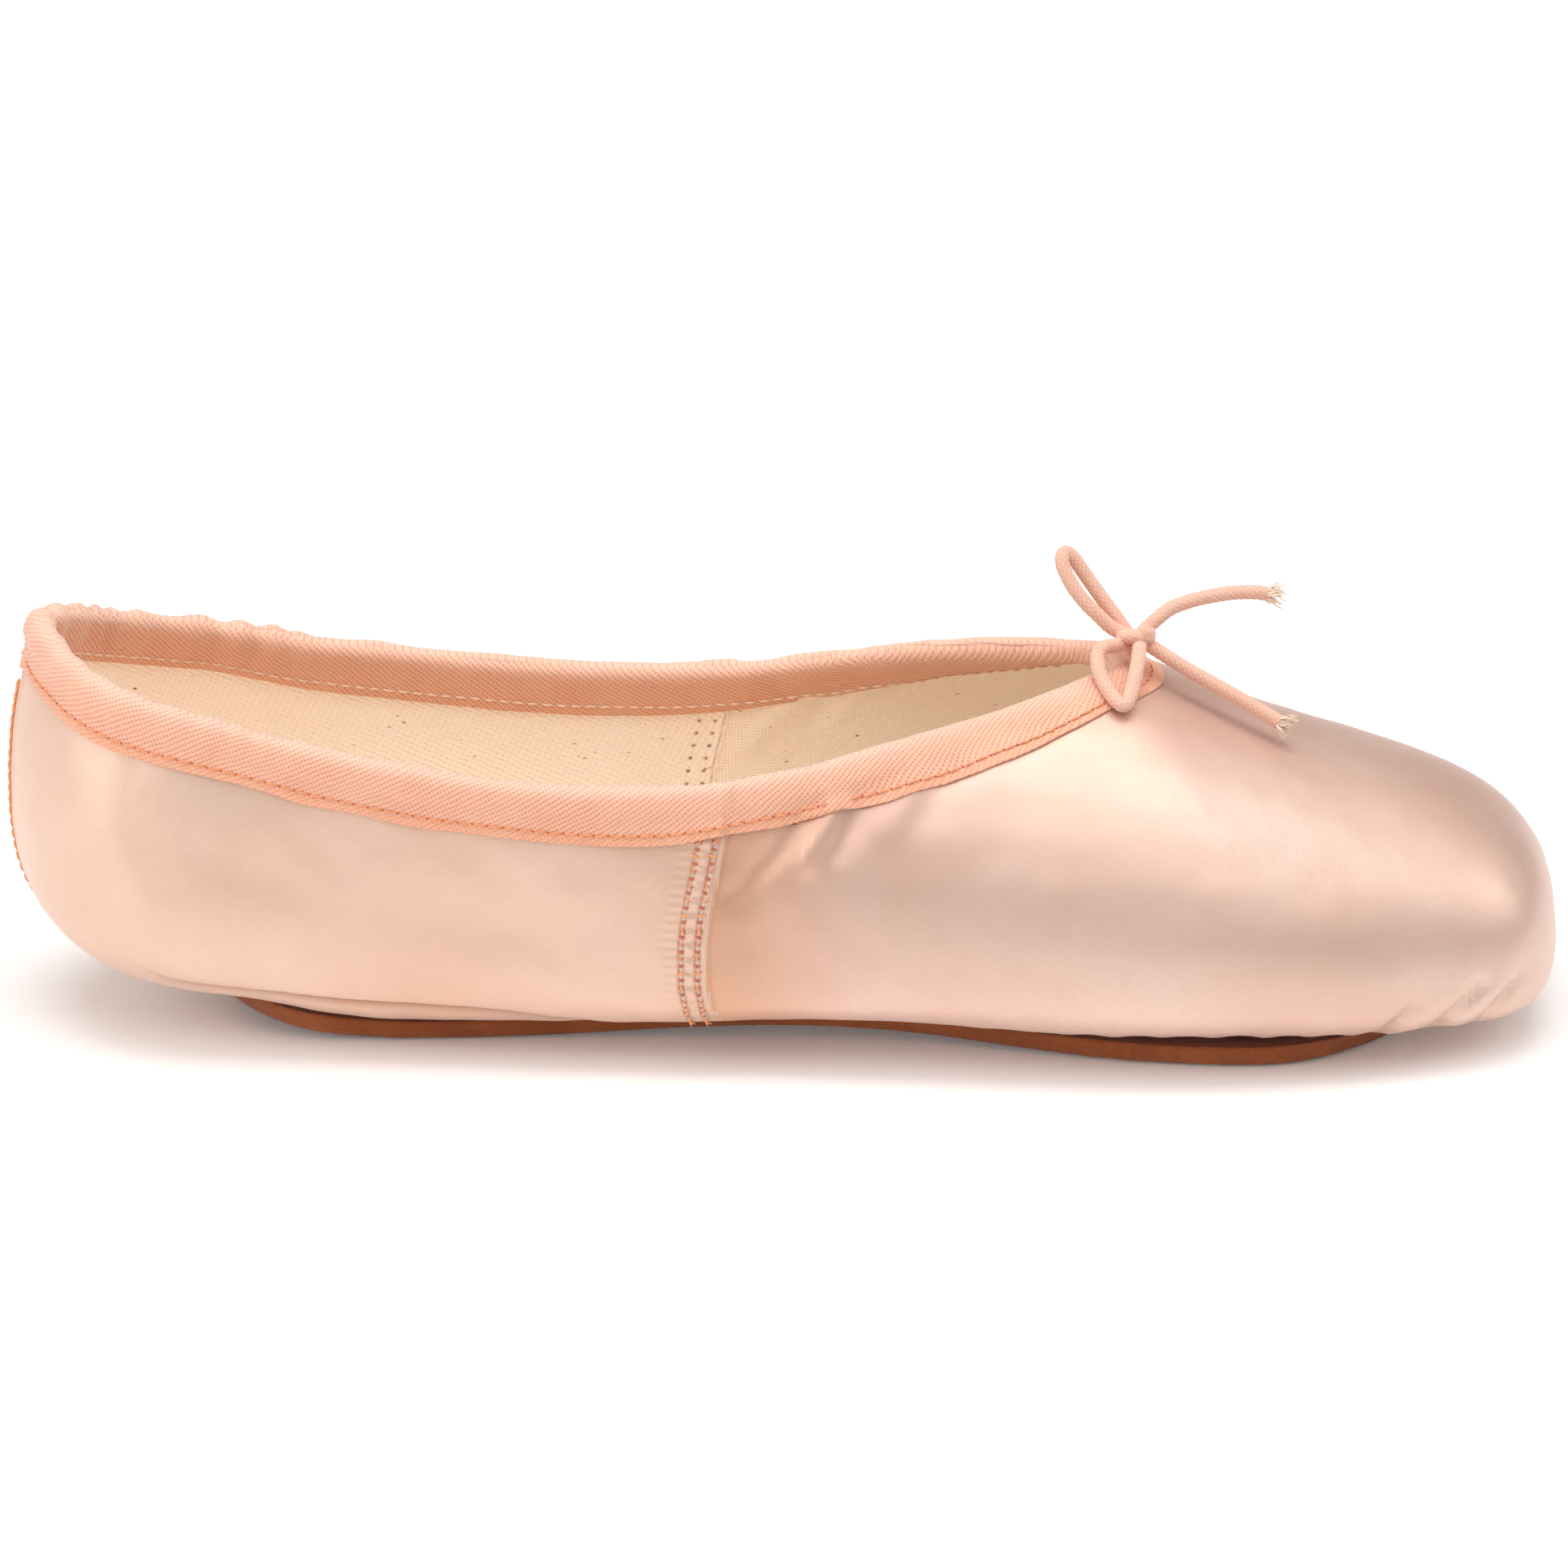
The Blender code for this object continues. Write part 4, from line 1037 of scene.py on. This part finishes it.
heights = np.linspace(50.0, 8.0, 60)
starts = [shoe(-30, 0, z) for z in heights]
heel_line = row_on(outer_skin, starts, [Vector((1, 0, 0))] * 60, 0.9 * MM)
heel_braid = []
for number, (place, way, outward) in enumerate(heel_line):
    way = way / np.linalg.norm(way)
    side = np.cross(way, outward) * (1 if number % 2 else -1)
    heel_braid.append((place + 0.4 * MM * side, way + 0.75 * side, outward))
stitches("heel_seam_braid", heel_braid, SEAM_THREAD, length=2.0 * MM, thick=0.34 * MM)

# Outsole and insole
outsole = fine_copy("outsole", "suede_outsole", sharpen_rims)
points = places(outsole.data)
normals = directions(outsole.data)
rim = [k for k in range(len(points)) if abs(normals[k, 2]) < 0.75]
edge = np.abs(normals[:, 2]) < 0.8
nap = np.where(edge, 0.16, 0.03) * MM * waviness(points, 0.0012, 12) + 0.05 * MM * waviness(points, 0.006, 13)
outsole.data.materials.append(SOLE_SUEDE)
outsole.data.materials.append(SOLE_EDGE)
for face in outsole.data.polygons:
    face.material_index = 1 if abs(face.normal.z) < 0.7 else 0
put_back(outsole.data, points + normals * nap[:, None])

NAP_HAIRS = 2600
HAIR_REACH = 0.03 * MM
draw = random.Random(31)
hair_points, hair_faces = [], []
for _ in range(NAP_HAIRS):
    k = draw.choice(rim)
    drift = [draw.uniform(-0.5, 0.5), draw.uniform(-0.2, 0.2), draw.uniform(-0.2, 0.2)]
    place = points[k] + np.array(drift) * MM
    lean = [draw.uniform(-0.9, 0.9), draw.uniform(-0.5, 0.5), draw.uniform(-0.4, 0.6)]
    way = normals[k] + np.array(lean)
    way = way / np.linalg.norm(way) * draw.uniform(0.25, 0.75) * MM
    if (place + way)[2] < 0.0001:
        continue
    side = np.cross(way, (0.3, 0.2, 0.9))
    side = side / np.linalg.norm(side) * HAIR_REACH
    lift = np.cross(way, side)
    lift = lift / np.linalg.norm(lift) * HAIR_REACH
    root = place - way * 0.3
    first = len(hair_points)
    hair_points += [root + side, root - side, root + lift, place + way]
    for a, b in ((0, 1), (1, 2), (2, 0)):
        hair_faces.append((first + a, first + b, first + 3))
new_piece("sole_edge_nap", hair_points, hair_faces, LEATHER_NAP)

insole = fine_copy("insole", "insole_sock")
points = places(insole.data)
spread(insole.data, points[:, :2].copy())
insole.data.materials.append(SOCK_CLOTH)

# Floor and light
bpy.ops.object.select_all(action="DESELECT")
bpy.ops.mesh.primitive_plane_add(size=12.0, location=(0, 0, -0.00005))
floor = bpy.context.object
floor.name = "floor"
floor.data.materials.append(floor_finish())


def softbox(name, place, aim, width, depth, power):
    """A flat lamp that looks at a place."""
    light = bpy.data.lights.new(name, "AREA")
    light.shape = "RECTANGLE"
    light.size = width
    light.size_y = depth
    light.energy = power
    lamp = bpy.data.objects.new(name, light)
    bpy.context.scene.collection.objects.link(lamp)
    lamp.location = place
    lamp.rotation_euler = (Vector(aim) - Vector(place)).to_track_quat("-Z", "Y").to_euler()


softbox("overhead", (0.00, 0.00, 1.10), (0, 0, 0.02), 1.1, 0.75, 8.1)
softbox("front_high", (0.05, -0.72, 1.00), (0, 0, 0.03), 1.5, 0.60, 3.2)
softbox("left_side", (-1.05, -0.50, 0.45), (0, 0, 0.03), 0.60, 0.8, 4.0)
softbox("right_side", (1.10, 0.10, 0.75), (0, 0, 0.03), 0.60, 0.6, 2.6)
world = bpy.data.worlds.new("studio")
bpy.context.scene.world = world
world.use_nodes = True
sky = world.node_tree
coordinates = sky.nodes.new("ShaderNodeTexCoord")
split = sky.nodes.new("ShaderNodeSeparateXYZ")
ramp = sky.nodes.new("ShaderNodeValToRGB")
ramp.color_ramp.elements[0].position = 0.22
ramp.color_ramp.elements[0].color = (0.075, 0.06, 0.055, 1)
ramp.color_ramp.elements[1].position = 0.70
ramp.color_ramp.elements[1].color = (0.58, 0.57, 0.57, 1)
sky.links.new(coordinates.outputs["Generated"], split.inputs[0])
sky.links.new(split.outputs[2], ramp.inputs[0])
sky.links.new(ramp.outputs[0], sky.nodes["Background"].inputs["Color"])
bpy.context.scene.view_settings.view_transform = "Standard"
